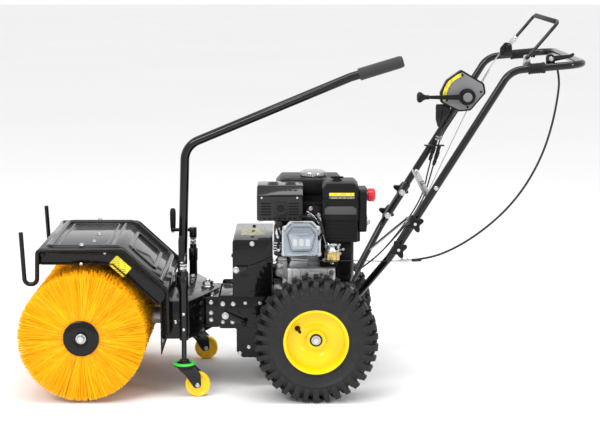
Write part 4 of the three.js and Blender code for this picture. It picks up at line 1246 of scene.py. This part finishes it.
def crankcase():
    shape = Shape()
    shape.block((-92, -96, ENGINE_BASE), (58, 96, ENGINE_BASE + 13), 3)
    shape.block((-80, -100, ENGINE_BASE + 8), (54, 100, ENGINE_BASE + 74), 8, segments=3)
    shape.turned([(0, -72), (78, -72), (84, -66), (84, 52), (80, 58), (0, 58)], (0, 0, CRANK_Z), X_AXIS, 64)
    shape.turned([(0, -112), (18.6, -112), (20, -110.6), (20, -70), (0, -70)], (0, 0, CRANK_Z), X_AXIS, 32, 1)
    shape.turned([(0, -80), (38, -80), (44, -72), (0, -72)], (0, 0, CRANK_Z), X_AXIS, 40)
    # Cooling fins round the barrel, and the head behind the valve cover.
    for k in range(12):
        y = -60 - 8.2 * k
        wide = panel(-79, 367, 1, 459, 12)
        shape.slab(wide, y - 1.4, y + 1.4, bevel=0.8)
    shape.block((-70, -160, 374), (-8, -42, 456), 7)
    head = flat_rounded([(-84, 371), (6, 371), (6, 452), (-10, 460), (-68, 460), (-84, 452)], 8)
    shape.slab(head, -165, -157, bevel=1.5)
    # Ribs, bosses and bolts of the lower casting.
    for x in (-66, -44, 34):
        shape.block((x - 2, -104, ENGINE_BASE + 12), (x + 2, -98, ENGINE_BASE + 70), 1.2)
    shape.slab(panel(-30, 282, 22, 318, 9), -104, -98, bevel=2)
    shape.slab(flat_rounded([(-74, 329), (-24, 329), (-18, 352), (-66, 356)], 5), -88, -60, bevel=3)
    for x, z in ((-24, 288), (16, 288), (16, 312), (-24, 312)):
        shape.bolt((x, -103.8, z), (0, -1, 0), 8, 1)
    for x, z in ((-56, 300), (-56, 276), (44, 276), (44, 316)):
        shape.turned([(0, 0), (8, 0), (7, 5), (0, 5)], (x, -99, z), (0, -1, 0), 24)
        shape.bolt((x, -104, z), (0, -1, 0), 9, 1)
    for x in (-84, 48):
        for _, side in SIDES:
            shape.bolt((x, side * 86, ENGINE_BASE + 12.6), Z_AXIS, 11, 1)
    shape.turned([(0, 0), (11, 0), (11, 10), (9.4, 12), (0, 12)], (-40, -99, 281), (0, -1, 0), 24, 2)
    shape.block((-44, -114, 279.4), (-36, -110.4, 282.6), 0.8, 2)
    for k in range(6):
        place = around((0, 0, CRANK_Z), (k + 0.5) / 6, "X")
        shape.bolt(place @ Vector((-71.8, 0, 62)), (-1, 0, 0), 10, 1)
    shape.made("engine_block", "chassis", [CAST, ZINC, PLASTIC], "cast_alloy", ["crankcase"])


def valve_cover():
    def outline(grow, radius):
        low, high, shoulder = 374 - 0.2 * grow, 468 + 0.2 * grow, 446
        corners = [(-87 - grow, low), (9 + grow, low), (9 + grow, shoulder), (-12 + grow, high),
                   (-66 - grow, high), (-87 - grow, shoulder)]
        return flat_rounded(corners, radius)
    raised = flat_rounded([(-75, 438), (-62, 456), (-16, 456), (-3, 438), (-16, 393), (-62, 393)], 8)
    trough = grown(raised, (-39, 424), 1.1)
    shape = Shape().slab(outline(4, 9), -172, -165.6, bevel=1.2, mark=1)
    shape.slab(outline(-1, 11), -183, -171, bevel=3)
    shape.slab(outline(-4, 11), -188, -182.4, bevel=2.4, holes=[trough])
    shape.slab(raised, -189.6, -182.4, bevel=3)
    for k in range(3):
        letter = [(-62 + 17 * k, 404), (-50 + 17 * k, 404), (-50 + 17 * k, 424), (-62 + 17 * k, 424)]
        shape.slab(flat_rounded(letter, 3), -191, -189.2, bevel=0.8, mark=1)
    shape.slab(panel(-60, 436, -18, 441, 2.4), -190.8, -189.2, bevel=0.6)
    for x, z in ((-86, 381), (8, 381), (5, 451), (-83, 451)):
        shape.turned([(0, 0), (7, 0), (6.4, 5), (0, 5)], (x, -171.6, z), (0, -1, 0), 24, 1)
        shape.bolt((x, -176.4, z), (0, -1, 0), 7.5, 2)
    shape.made("rocker_cover", "chassis", [POLISHED, CAST, ZINC], "cast_alloy", ["valve_cover"])


MUFFLER_X, MUFFLER_Y, MUFFLER_Z = (-160, -33), (-118, -3), (461, 555)


def muffler():
    (left, right), (near, far), (low, high) = MUFFLER_X, MUFFLER_Y, MUFFLER_Z
    brow, back = high - 24, near + 26          # the front leans back above the brow
    section = rounded([(0, near, 500), (0, near, low, 5), (0, far, low, 5), (0, far, high, 8),
                       (0, back, high, 7), (0, near, brow, 7), (0, near, 500)], 20)
    shape = Shape().slab([(p.y, p.z) for p in section[:-1]], left + 0.5, right - 0.5, "yz", 6)
    holes = []
    for k in range(5):
        z = 477 + 7.6 * k
        for x in (left + 12, right - 40):
            holes.append(panel(x, z, x + 28, z + 3.8, 1.8))
    for k in range(7):
        x = left + 18 + 13.6 * k
        holes.append(panel(x, 466, x + 8, 470, 1.8))
    face = [(left + 4, low + 1), (right - 4, low + 1), (right - 4, brow - 4), (left + 4, brow - 4)]
    shape.slab(flat_rounded(face, 7), near - 3.6, near - 0.6, bevel=0.9, mark=3, holes=holes)
    # A dark rubber sheet behind the louvres, seen through the slots: painted shade inside the shield.
    shape.block((left + 10, near - 0.8, low + 4), (right - 10, near + 0.4, brow - 8), 0.3, 2)
    lean = Matrix.Rotation(math.atan2(high - brow, back - near), 4, "X")
    # The slots in the sloping brow are flat dark patches: painted shade in place of openings.
    for k in range(7):
        slot = panel(-5, -2, 5, 2, 1.8)
        place = Matrix.Translation((left + 22 + 13.8 * k, (near + back) / 2, (brow + high) / 2)) @ lean
        shape.slab(slot, -1, 0.4, "xy", 0, 2, place)
    # The round deflector in the middle of the shield.
    at = (-94, near - 3.4, 495)
    shape.turned([(9, 0), (17, 0), (18, 2.5), (17, 4.6), (12, 5), (10.4, 2.4), (9, 2), (9, 0)], at,
                 (0, -1, 0), 40, 3)
    shape.turned([(0, 0), (9, 0), (8, 1.4), (0, 1.6)], at, (0, -1, 0), 24, 2)
    # Eight dark dots round the deflector stand for its holes: painted shade.
    for k in range(8):
        angle = TAU * k / 8
        hole_at = (at[0] + 14.4 * math.cos(angle), at[1] - 4.6, at[2] + 14.4 * math.sin(angle))
        shape.dome(hole_at, (0, -1, 0), 1.6, 0.8, 2)
    # Two pairs of vents in the top: each opening is a flat dark patch, painted shade, inside a raised ring.
    for x in (-128, -80):
        for y in (back + 14, back + 44):
            vent = panel(x, y, x + 24, y + 12, 5.5)
            shape.slab(vent, high - 0.5, high + 0.4, "xy", 0, 2)
            ring = panel(x - 3, y - 3, x + 27, y + 15, 8)
            shape.slab(ring, high - 0.5, high + 1.6, "xy", 0.6, holes=[vent])
    for x, z in ((-146, 525), (-50, 525)):
        shape.bolt((x, near - 3.4, z), (0, -1, 0), 6, 1, washer=False)
    for x in (-150, -46):
        shape.block((x - 7, near + 16, low - 6), (x + 7, near + 40, low + 1), 1, 1)
    shape.tube([(-70, -60, low + 2), (-66, -72, low - 16)], 13, 24, 1)
    shape.made("muffler_shield", "chassis", [BLACK, ZINC, RUBBER, SATIN_BLACK], "black_paint", ["muffler"])


def fuel_tank():
    shape = Shape()
    low_part = flat_rounded([(-104, 474), (72, 474), (79, 484), (79, 512), (-111, 512), (-111, 484)], 8)
    high_part = flat_rounded([(-111, 510), (79, 510), (79, 540), (62, 558), (-94, 558), (-111, 540)], 10)
    shape.slab(low_part, 6, 166, bevel=5)
    shape.slab(high_part, 6, 166, bevel=9)
    shape.slab(panel(-113, 3, 81, 169, 12), 509, 512, "xy", 0.8)
    for x in (-84, -46, -8, 30):
        shape.slab(panel(x, 20, x + 14, 44, 4), 556, 559.4, "xy", 1.2)
    neck = [(0, 550), (42, 550), (42, 556.6), (40, 558.4), (20, 559), (20, 559.8), (0, 559.8)]
    shape.turned(neck, (-6, 72, 0), Z_AXIS, 40)
    for x in (-96, 66):
        shape.block((x - 10, 70, 330), (x - 6, 94, 478), 1)
    shape.made("petrol_tank", "chassis", PLASTIC, "black_plastic", ["fuel_tank"])
    cap = [(0, 0), (35.4, 0), (36.4, 1), (36.4, 9.4), (35, 12), (31.4, 13.4), (29, 15), (9.6, 15.8), (9, 17),
           (0, 17)]
    lid = Shape().turned(cap, (-6, 72, 560), Z_AXIS, 72)
    for k in range(44):
        angle = TAU * k / 44
        x, y = -6 + 36.5 * math.cos(angle), 72 + 36.5 * math.sin(angle)
        lid.turned([(0, 1), (1.1, 1.2), (1.1, 10), (0, 11)], (x, y, 560), Z_AXIS, 8)
    lid.made("petrol_cap", "fuel_cap_body", CHROME, "zinc_plate", ["fuel_cap"])


def air_cleaner():
    shape = Shape()
    lower = flat_rounded([(21, 463), (116, 463), (116, 520), (17.4, 520), (17.4, 474)], 6)
    upper = flat_rounded([(17, 522), (116, 522), (116, 554), (104, 566), (29, 566), (17, 552)], 8)
    shape.slab(lower, -131, -9, bevel=3)
    shape.slab(upper, -132, -8, bevel=5)
    shape.slab(panel(19, 515, 114, 527, 3), -129.5, -10.5, bevel=1)
    shape.slab(panel(24, 404, 114, 466, 5), -128, -100, bevel=3)
    for k in range(6):
        z = 410 + 8.6 * k
        shape.slab(panel(30, z, 108, z + 4.4, 2), -129.8, -127, bevel=0.6)
    shape.slab(panel(24, 481, 110, 503, 3), -132.6, -130, bevel=0.8, mark=1)
    shape.turned([(0, 0), (13, 0), (13, 3), (7, 6), (7, 12), (0, 13)], (58, -70, 565.4), Z_AXIS, 32)
    shape.block((40, -73, 571), (76, -67, 577), 2.4)
    for x in (24, 109):
        shape.block((x - 6, -136, 500), (x + 6, -130, 514), 1.6, 0)
    shape.dome((30, -128, 397), (0, -1, 0), 4, 2, 0)
    shape.made("air_filter_box", "chassis", [PLASTIC, GREY_PANEL], "black_plastic", ["air_cleaner"])
    label = panel(36, 532, 104, 540, 1.5)
    Shape().slab(label, -132.5, -131.8, bevel=0).made("air_filter_bar", "chassis", WARNING, "yellow_paint")
    label = panel(36, 524, 104, 531.4, 1.5)
    Shape().slab(label, -132.5, -131.8, bevel=0).made("air_filter_label", "chassis", PLATE_LABEL,
                                                      "grey_panel")


def carburettor():
    shape = Shape()
    bowl = [(0, 351.6), (5, 351.8), (9, 354), (16, 355.4), (19.4, 358.4), (20.4, 364), (20.4, 379),
            (21.6, 380), (21.6, 383), (19, 384), (0, 384)]
    shape.turned(bowl, (44, -146, 0), Z_AXIS, 48, 0)
    shape.bolt((44, -146, 352.6), (0, 0, -1), 10, 1, washer=False)
    shape.turned([(0, 383.6), (18.6, 383.6), (18.6, 388), (14, 392), (13, 398), (0, 398)], (44, -146, 0),
                 Z_AXIS, 40, 1)
    shape.block((31, -136, 372.6), (58, -104, 403), 4, 1)
    shape.turned([(0, 0), (9, 0), (9, 10), (7, 12), (0, 12)], (36, -136, 396), (-0.5, -1, 0), 24, 1)
    shape.bolt((58, -140, 392), (1, -0.4, 0), 8, 1)
    shape.bolt((31, -130, 384), (-1, 0, 0), 8, 1)
    shape.tube(rounded([(26, -150, 399), (36, -152, 402, 4), (56, -150, 400, 4), (62, -146, 388)], 20), 1.5,
               10, 1)
    shape.turned([(0, 0), (3, 0), (3, 14), (2, 16), (0, 16)], (54, -158, 384), Z_AXIS, 16, 2)
    shape.made("carburettor_body", "chassis", [BRASS, ZINC, PLASTIC], "brass", ["carburettor"])


def starter_housing():
    shape = Shape()
    shell = [(0, 59), (93, 59), (94, 61), (94, 96), (90, 101), (80, 104), (66, 104), (60, 101), (0, 101)]
    shape.turned(shell, (0, 0, CRANK_Z), X_AXIS, 96)
    shape.block((62, -70, 290), (100, 70, 332), 6)
    for k in range(30):
        place = around((0, 0, CRANK_Z), k / 30, "X")
        shape.block((100, -1.6, 20), (103, 1.6, 58), 0.8, 0, place)
    shape.turned([(0, 100), (18, 100), (18, 103.4), (0, 103.8)], (0, 0, CRANK_Z), X_AXIS, 40, 1)
    for k in range(3):
        place = around((0, 0, CRANK_Z), (k + 0.3) / 3, "X")
        shape.bolt(place @ Vector((103.4, 0, 72)), X_AXIS, 9, 1)
    shape.made("recoil_starter", "chassis", [PLASTIC, ZINC], "black_plastic", ["flywheel_housing"])


def control_box():
    shape = Shape()
    face = panel(-120, 430, -24, 546, 10)
    shape.slab(face, 116.5, 138, "yz", 3)
    shape.block((104.8, -72, 396), (122, -30, 452), 3)
    shape.slab(panel(-112, 440, -34, 474, 5), 137.4, 139.4, "yz", 0.8, 1)
    shape.disc(20, 138, 139.6, (0, -78, 527), X_AXIS, 40, 1)
    shape.turned([(0, 138), (9, 138), (9, 143), (7.6, 144), (0, 144)], (0, -98, 456), X_AXIS, 24, 2)
    for y in (-112, -32):
        shape.dome((138, y, 538), (1, 0, 0), 3.4, 1.6, 2)
    shape.made("switch_box", "chassis", [PLASTIC, GREY_PANEL, ZINC], "black_plastic", ["control_panel"])
    key = Shape().block((139.6, -101, 450), (147, -95, 462), 1.6)
    key.disc(6, 138.2, 140.6, (0, -58, 456), X_AXIS, 20)
    key.made("stop_switch_key", "chassis", RED, "red_plastic")
    knob = [(0, 0), (14.4, 0), (15.4, 1), (16.4, 4), (16.6, 16), (14.6, 20), (12.6, 22), (0, 22)]
    grip = Shape().turned(knob, (140, -78, 527), X_AXIS, 40)
    for k in range(12):
        place = around((140, -78, 527), k / 12, "X")
        grip.block((3, -1.6, 14.6), (19, 1.6, 17.8), 1, 0, place)
    grip.made("red_choke_knob", "choke", RED, "red_plastic", ["choke_knob"])


def engine_dressing():
    """Governor plate, springs, hoses and leads between the rocker cover and the air filter."""
    shape = Shape()
    shape.slab(flat_rounded([(-26, 466), (16, 470), (15, 498), (-8, 504), (-26, 492)], 5), -112, -109,
               bevel=0.6)
    shape.slab(panel(6, 408, 15, 472, 3), -118, -115.6, bevel=0.5, mark=1)
    for x, z in ((-18, 474), (8, 476), (-14, 494)):
        shape.bolt((x, -112, z), (0, -1, 0), 8, 1)
    coil = [(-18 + 34 * k / 90, -121 + 3 * math.cos(k * 0.9), 482 - 26 * k / 90 + 3 * math.sin(k * 0.9))
            for k in range(91)]
    shape.tube(coil, 0.7, 6, 1)
    shape.tube(rounded([(-24, -116, 488), (-4, -126, 476, 8), (12, -138, 452, 8), (28, -150, 399)], 12), 1.1,
               8, 1)
    shape.tube(rounded([(16, -116, 458), (20, -134, 440, 8), (24, -142, 410, 8), (34, -146, 398)], 12), 3.2,
               12, 2)
    shape.tube(smooth_curve([(-60, -60, 458), (-44, -120, 474), (-14, -134, 472), (10, -126, 452),
                             (16, -110, 430)],
                            30), 2.6, 12, 2)
    shape.tube(smooth_curve([(10, -168, 428), (18, -178, 440), (12, -160, 462), (4, -124, 468),
                             (4, -98, 462)], 30),
               3.4, 12, 2)
    shape.turned([(0, 0), (6.6, 0), (7, 8), (5, 20), (4, 26), (0, 26)], (2, -166, 418), (0.35, -1, 0.5), 20,
                 2)
    for x, z in ((14, 436), (22, 424)):
        shape.disc(4.4, 0, 3, (x, -116, z), (0, -1, 0), 16, 1)
    for x, z in ((64, 396), (74, 384), (66, 372)):
        shape.tube([(x - 16, -140, z), (x, -132, z + 3)], 1.6, 8, 1)
        shape.disc(3.6, 0, 4, (x, -134, z + 3), (0, -1, 0), 12, 1)
    shape.made("governor_and_hoses", "chassis", [PLASTIC, STEEL_WIRE, RUBBER], "black_plastic")
    shroud = plate_line([(-112, 372), (-112, 470, 10), (12, 476, 8), (60, 470, 8), (62, 330, 10),
                         (12, 330, 8), (6, 372)])
    cowl = Shape().slab(shroud, -96, -58, bevel=3)
    cowl.slab(panel(-60, 440, 52, 500, 10), -40, 2, bevel=3)
    for x, z in ((24, 350), (50, 350), (50, 430)):
        cowl.bolt((x, -96, z), (0, -1, 0), 7.5, 1)
    cowl.made("blower_cowl", "chassis", [PLASTIC, ZINC], "black_plastic")
    side = Shape().slab(flat_rounded([(-113, 372), (-92, 366), (-90, 462), (-104, 466), (-113, 450)], 5),
                        -146, -100,
                        bevel=3, mark=2)
    side.turned([(0, 0), (9, 0), (8, 5), (4, 7), (0, 7)], (-101, -146, 434), (0, -1, 0), 24)
    side.tube(rounded([(-104, -152, 452), (-96, -154, 420, 8), (-103, -152, 396, 8), (-92, -150, 376)]), 3.2,
              12, 3)
    side.slab(flat_rounded([(-112, 306), (-78, 296), (-78, 358), (-104, 362)], 8), -96, -60, bevel=4)
    side.turned([(0, 0), (11, 0), (9.4, 8), (6, 10), (0, 10)], (-98, -96, 334), (0, -1, 0), 32)
    for x, z in ((-102, 444), (-101, 424), (-100, 388), (-92, 312), (-86, 350)):
        side.bolt((x, -150 if z > 370 else -96, z), (0, -1, 0), 7.5, 1)
    for k in range(4):
        side.block((-115, -149, 384 + 7 * k), (-91, -120, 386.4 + 7 * k), 0.8)
    side.made("side_casting", "chassis", [CAST, ZINC, DARK_STEEL, RUBBER], "cast_alloy")


crankcase()
valve_cover()
muffler()
fuel_tank()
air_cleaner()
carburettor()
starter_housing()
control_box()
engine_dressing()


# ---- handlebar -------------------------------------------------------------------

BAR_R = 10
BAR_FOOT, BAR_KNEE, BAR_END = (207, 408.2), (500, 879.3), (690, 896)
BOW = math.radians(58)


def on_bar(s, y, lift=0.0):
    """A point s millimetres up the straight part of the bar, and lift towards the front."""
    return (BAR_FOOT[0] + s * math.cos(BOW) - lift * math.sin(BOW), y,
            BAR_FOOT[1] + s * math.sin(BOW) + lift * math.cos(BOW))


def on_hold(x, y, lift=0.0):
    """A point on the nearly level part that the hands hold."""
    rise = (BAR_END[1] - BAR_KNEE[1]) / (BAR_END[0] - BAR_KNEE[0])
    return (x, y, BAR_KNEE[1] + (x - BAR_KNEE[0]) * rise + lift)


def handlebar():
    side = [(BAR_FOOT[0], BAR_FOOT[1]), (*BAR_KNEE, 62), (*BAR_END, 50)]
    near = [(c[0], -BAR_Y, *c[1:]) for c in side]
    far = [(c[0], BAR_Y, *c[1:]) for c in reversed(side)]
    shape = Shape().tube(rounded(near + far, 5), BAR_R, 36)
    # The ears that hold the clutch lever.
    x, y, z = 606, -252, 908
    shape.block((x - 14, -BAR_Y, z - 19), (x + 10, y + 8, z - 13), 1.5)
    for low in (y - 8, y + 4.4):
        ear = plate_line([(x - 12, z - 14), (x - 12, z + 12, 9), (x + 10, z + 12, 9), (x + 10, z - 14)], 20)
        shape.slab(ear, low, low + 3.6, bevel=0.5)
    shape.bolt((x, y - 7.9, z), (0, -1, 0), 8, 1)
    shape.bolt((x, y + 7.9, z), (0, 1, 0), 8, 1)
    shape.disc(4.4, 0, 6, (x + 15, -247, z - 21), (0.3, 0, 1), 16, 1)
    # The near bracket of the safety bail.
    shape.slab(flat_rounded([(534, 886), (556, 886), (554, 918), (536, 918)], 5), -249.4, -246.4, bevel=0.6,
               mark=1)
    shape.block((534, -267, 884), (556, -246.4, 888), 1, 1)
    shape.turned([(4.8, 0), (7.4, 0), (7.4, 5), (4.8, 5), (4.8, 0)], (544, -251.6, 910), Y_AXIS, 24, 1)
    # The far bracket of the safety bail: a humped arm over to the bar.
    hump = flat_rounded([(526, 884), (562, 884), (560, 922), (540, 926), (526, 908)], 8)
    shape.slab(hump, 194, 198, bevel=0.8)
    shape.block((527, 194.4, 884), (560, 268, 888.4), 1.2)
    shape.block((530, 196, 886), (556, 240, 914), 9, segments=4)
    shape.turned([(4.8, 0), (8.2, 0), (8.2, 14), (4.8, 14), (4.8, 0)], (544, 180, 910), Y_AXIS, 24, 0)
    shape.bolt(on_bar(196, -BAR_Y - 9.4), (0, -1, 0), 8, 1)
    for y in (BAR_Y, -BAR_Y):
        shape.turned([(0, -4), (8.6, -4), (9.6, -2.6), (10.4, 0), (10.4, 5), (0, 5)], on_bar(0, y),
                     (math.cos(BOW), 0, math.sin(BOW)), 32, 2)
    shape.made("handlebar_tube", "chassis", [FRAME_BLACK, ZINC, RUBBER], "black_paint", ["handlebar"])


def ringed_grip(name, y, start, end):
    """A rubber sleeve with rings on the level part of the bar."""
    out = Vector(on_hold(1, 0)) - Vector(on_hold(0, 0))
    length = (end - start) * out.length
    profile = [(10.2, 0), (13.4, 0), (14.4, 1.4), (14.4, 5)]
    along = 6.0
    while along < length - 8:
        profile += [(12.7, along), (12.7, along + 1.6), (13.9, along + 2.6), (13.9, along + 5)]
        along += 6.2
    profile += [(14.4, length - 5), (14.4, length - 1.4), (13.4, length), (10.2, length), (10.2, 0)]
    Shape().turned(profile, on_hold(start, y), out, 40).made(f"ringed_grip_{name}", "chassis", RUBBER,
                                                             "grey_panel")


def handle_bracket(name, side):
    mounting = PLATE_Y + 2 + 10.5
    inner = BAR_Y - BAR_R - 10.5
    low, high = on_bar(-24, side * inner), on_bar(124, side * inner)
    line = [(70, side * mounting, 236), (106, side * mounting, 250, 20), (*low, 40), high]
    shape = Shape().tube(rounded(line, 6), BAR_R, 32)
    reach = span(side, mounting - 10.2, mounting + 2)
    shape.block((52, reach[0], 222), (84, reach[1], 250), 2)
    for x in (59, 77):
        shape.bolt((x, side * (mounting + 2), 236), (0, side, 0), 10, 1)
    for x, z in ((213, 418), (255, 486)):
        shape.bolt((x, side * (inner - BAR_R + 0.6), z), (0, -side, 0), 12, 1)
    shape.made(f"handle_stay_{name}", "chassis", [FRAME_BLACK, ZINC], "black_paint",
               [f"handle_bracket_{name}"])


def star_knob(name, side, index, x, z):
    at = (x, side * (BAR_Y + BAR_R + 0.3), z)
    out = (0, side, 0)
    shape = Shape().turned([(0, 0), (10, 0), (10, 1.6), (7.6, 3), (7.2, 18), (9, 23), (0, 23)], at, out, 32,
                           0)
    star = []
    for k in range(72):
        angle = TAU * k / 72
        wave = 0.5 + 0.5 * math.cos(4 * angle)
        radius = 13.4 + 10.6 * wave ** 1.3
        star.append((radius * math.cos(angle), radius * math.sin(angle)))
    place = Matrix.Translation(at) @ turn_to(out, 0.4)
    shape.slab(star, 21, 37, "xy", 3.2, 0, place)
    shape.turned([(0, 0), (8.4, 0), (8, 1.6), (5, 2), (5, 0.8), (0, 0.8)], Vector(at) + Vector(out) * 36.8,
                 out, 32)
    shape.disc(4, 0, 1.8, Vector(at) + Vector(out) * 37.2, out, 20, 1)
    shape.made(f"star_knob_{name}_{index}", f"knob_{name}_{index}", [PLASTIC, ZINC], "black_plastic",
               [f"clamp_knob_{name}_{index}"])


def cross_brace():
    reach = BAR_Y - BAR_R - 12
    outline = [(281, 550), (285, 557), (305, 544.5), (301, 537.5)]
    shape = Shape().slab(outline, -reach, reach, bevel=1.2)
    for _, side in SIDES:
        ends = span(side, reach, BAR_Y - BAR_R + 1)
        shape.slab([(283, 552), (286, 556), (303, 545.5), (300, 540.5)], *ends, bevel=0.6)
        place = Matrix.Translation((293, side * (reach - 14), 549))
        shape.bolt(place @ Vector((2, 0, 1)), (0.53, 0, 0.85), 9, 1)
    shape.made("handle_cross_brace", "chassis", [BLACK, ZINC], "black_paint", ["cross_brace"])
    strap = Shape()
    a, b = Vector((240, -258, 492)), Vector((141, -234, 404))
    run = (b - a).normalized()
    middle = (a + b) / 2
    place = Matrix.Translation(middle) @ turn_to(run)
    half = (b - a).length / 2
    strap.block((-2, -9, -half), (2, 9, half), 1, 0, place)
    strap.bolt(a + Vector((0, -3, 0)), (0, -1, 0), 9, 1)
    strap.made("diagonal_strap", "chassis", [FRAME_BLACK, ZINC], "black_paint")


SELECTOR = (437.7, 226, 767.6)


def selector():
    x, y, z = SELECTOR
    face = [(x - 76, z - 17), (x - 77, z + 11), (x - 60, z + 46), (x - 17, z + 77), (x + 49, z + 38),
            (x + 54, z + 11), (x + 11, z - 40), (x - 23, z - 43)]
    shape = Shape().slab(flat_rounded(face, 9), y + 2, y + 34, bevel=3)
    rim_line = flat_rounded(face, 9)
    middle = (x - 8, z + 10)
    shape.slab(rim_line, y - 0.6, y + 4, bevel=0.8, holes=[grown(rim_line, middle, 0.92)])
    shape.slab(grown(rim_line, middle, 0.915), y + 0.2, y + 3, bevel=0.4, mark=1)
    arc = []
    for radius, way in ((70, 1), (59, -1)):
        for k in range(25)[::way]:
            angle = math.radians(190 - 84 * k / 24)
            arc.append((x + radius * math.cos(angle), z + radius * math.sin(angle)))
    shape.slab(arc, y - 0.5, y + 1, bevel=0.2, mark=2)
    for k in range(6):
        angle = math.radians(184 - 14.5 * k)
        place = Matrix.Translation((x, y, z)) @ Matrix.Rotation(-angle, 4, "Y")
        shape.block((55, -0.4, -0.8), (58, 0.8, 0.8), 0.2, 0, place)
    shape.turned([(0, -12), (23, -12), (24, -11), (24, 1), (0, 1)], (x, y, z), Y_AXIS, 48)
    for u, v in ((-58, -10), (-14, 62), (40, 14), (2, -30)):
        shape.bolt((x + u, y - 0.3, z + v), (0, -1, 0), 6, 0, washer=False)
    saddle = [(x - 29, z - 21), (x + 2, z + 29), (x + 15, z + 21), (x - 16, z - 29)]
    shape.slab(saddle, y + 33, y + 39.6, bevel=1)
    shape.made("selector_housing", "chassis", [PLASTIC, SELECTOR_GREY, YELLOW_INK], "grey_panel",
               ["selector_plate"])
    bracket = Shape().slab(flat_rounded([(350, 744), (392, 744), (392, 716), (372, 676), (356, 678),
                                         (350, 700)], 5),
                           250, 254, bevel=0.8)
    bracket.made("selector_bracket", "chassis", FRAME_BLACK, "black_paint")
    out, at = (0, -1, 0), (x, y - 12.3, z)
    lever = Shape().turned([(0, 0), (17, 0), (20.4, 2.6), (21, 4), (21, 11.6), (19.6, 13), (15, 13),
                            (14.4, 11.8), (0, 11.8)], at, out, 56)
    lever.turned([(0, 11.4), (13.4, 11.4), (13.4, 13), (12, 14.2), (0, 14.6)], at, out, 40, 1)
    arm = plate_line([(x - 6, z - 8), (x - 6, z + 8), (x - 112, z + 4.6), (x - 112, z - 4.6)], 20)
    lever.slab(arm, y - 24, y - 16.4, bevel=1.4)
    knob = [(0, -146), (9, -145.6), (14.2, -142.6), (15.8, -137.4), (14, -132), (8.4, -126), (6.2, -119),
            (6.8, -114), (5.4, -110), (0, -110)]
    lever.turned(knob, (x, y - 20.3, z), X_AXIS, 40)
    lever.made("gear_selector_lever", "gear_lever_body", [PLASTIC, SELECTOR_GREY], "black_plastic",
               ["gear_lever"])


def control_rods():
    """Straight rods from the hand controls down towards the transmission."""
    shape = Shape()
    pull = [(536, 236, 900), (489, 240, 826), (337, 250, 502), (306, 250, 436)]
    shape.tube(smooth_curve(pull, 24), 1.4, 10, 1)
    coil = []
    for k in range(181):
        t = k / 180
        angle = TAU * 15 * t
        along = Vector((500 - 22 * t, 239, 843 - 40 * t))
        coil.append(along + Vector((3.6 * math.cos(angle), 3.6 * math.sin(angle), 1.6 * math.cos(angle))))
    shape.tube(coil, 0.8, 6, 1)
    shape.disc(3.4, 0, 12, (478, 240, 802), (-0.48, 0, -0.88), 16, 2)
    for shift, foot_z in ((0, 0), (11, -16)):
        line = [(404 + shift, 244, 728), (352 + shift, 246, 640), (332 + shift, 246, 560),
                (306, 232, 470 + foot_z), (196, 168, 330), (112, 130, 268)]
        shape.tube(smooth_curve(line, 40), 2.2, 12, 0)
        boot = [(0, -34), (4.6, -32), (5.8, -20), (4.6, -18), (6.2, -6), (6.2, 8), (4.4, 10), (4.4, 26),
                (0, 28)]
        shape.turned(boot, (344 + shift, 246, 612 - 14 * shift / 11), (0.3, 0, 0.95), 20, 2)
        for up in (30, 38):
            shape.disc(4.6, up, up + 4, (344 + shift, 246, 612), (0.3, 0, 0.95),
                         6, 1)
    shape.block((318, 242, 622), (376, 266, 626), 1, 0)
    shape.made("control_rods", "chassis", [FRAME_BLACK, STEEL_WIRE, PLASTIC], "black_plastic")


BAIL = (544, 910, -258, 190)


def safety_bail():
    x, z, near, far = BAIL
    top = z + 92
    line = [(x, near + 12, z), (x, near, z, 5), (x + 78, near, top, 14), (x + 78, far, top, 14),
            (x, far, z, 5), (x, far - 12, z)]
    shape = Shape().tube(rounded(line, 8), 4.5, 24)
    sleeve = [(4.6, 0), (6, 0), (6.6, 1), (6.6, 389), (6, 390), (4.6, 390), (4.6, 0)]
    shape.turned(sleeve, (x + 78, near + 28, top), Y_AXIS, 24, 1)
    up = Vector((78, 0, 92)).normalized()
    clevis = Vector((x, far, z)) + up * 16
    shape.turned([(4.6, 0), (7.6, 0), (7.6, 16), (6.6, 18), (4.6, 18), (4.6, 0)], clevis, up, 6, 2)
    shape.turned([(4.6, 20), (6.6, 20), (6.6, 26), (4.6, 26), (4.6, 20)], clevis, up, 20, 2)
    shape.made("bail_rod", "bail", [FRAME_BLACK, RUBBER, ZINC], "black_paint", ["safety_bail"])


def clutch_lever():
    x, y, z = 606, -252, 908
    blade = plate_line([(x - 8, z), (x - 8, z - 7, 4), (x + 8, z - 7, 8), (x + 54, z + 3, 8),
                        (x + 62, z + 11, 3), (x + 58, z + 16, 3), (x + 48, z + 11, 8), (x + 8, z + 8, 8),
                        (x - 6, z + 9, 5)])
    shape = Shape().slab(blade, y - 3.6, y + 3.6, bevel=1.6)
    shape.made("clutch_lever_blade", "clutch_lever", FRAME_BLACK, "grey_panel", ["brush_clutch_lever"])


handlebar()
ringed_grip("left", BAR_Y, 566, 636)
ringed_grip("right", -BAR_Y, 545, 588)
for side_name, side_sign in SIDES:
    handle_bracket(side_name, side_sign)
    for index, (knob_x, knob_z) in enumerate(((213, 418), (255, 486)), 1):
        star_knob(side_name, side_sign, index, knob_x, knob_z)
cross_brace()
selector()
control_rods()
safety_bail()
clutch_lever()
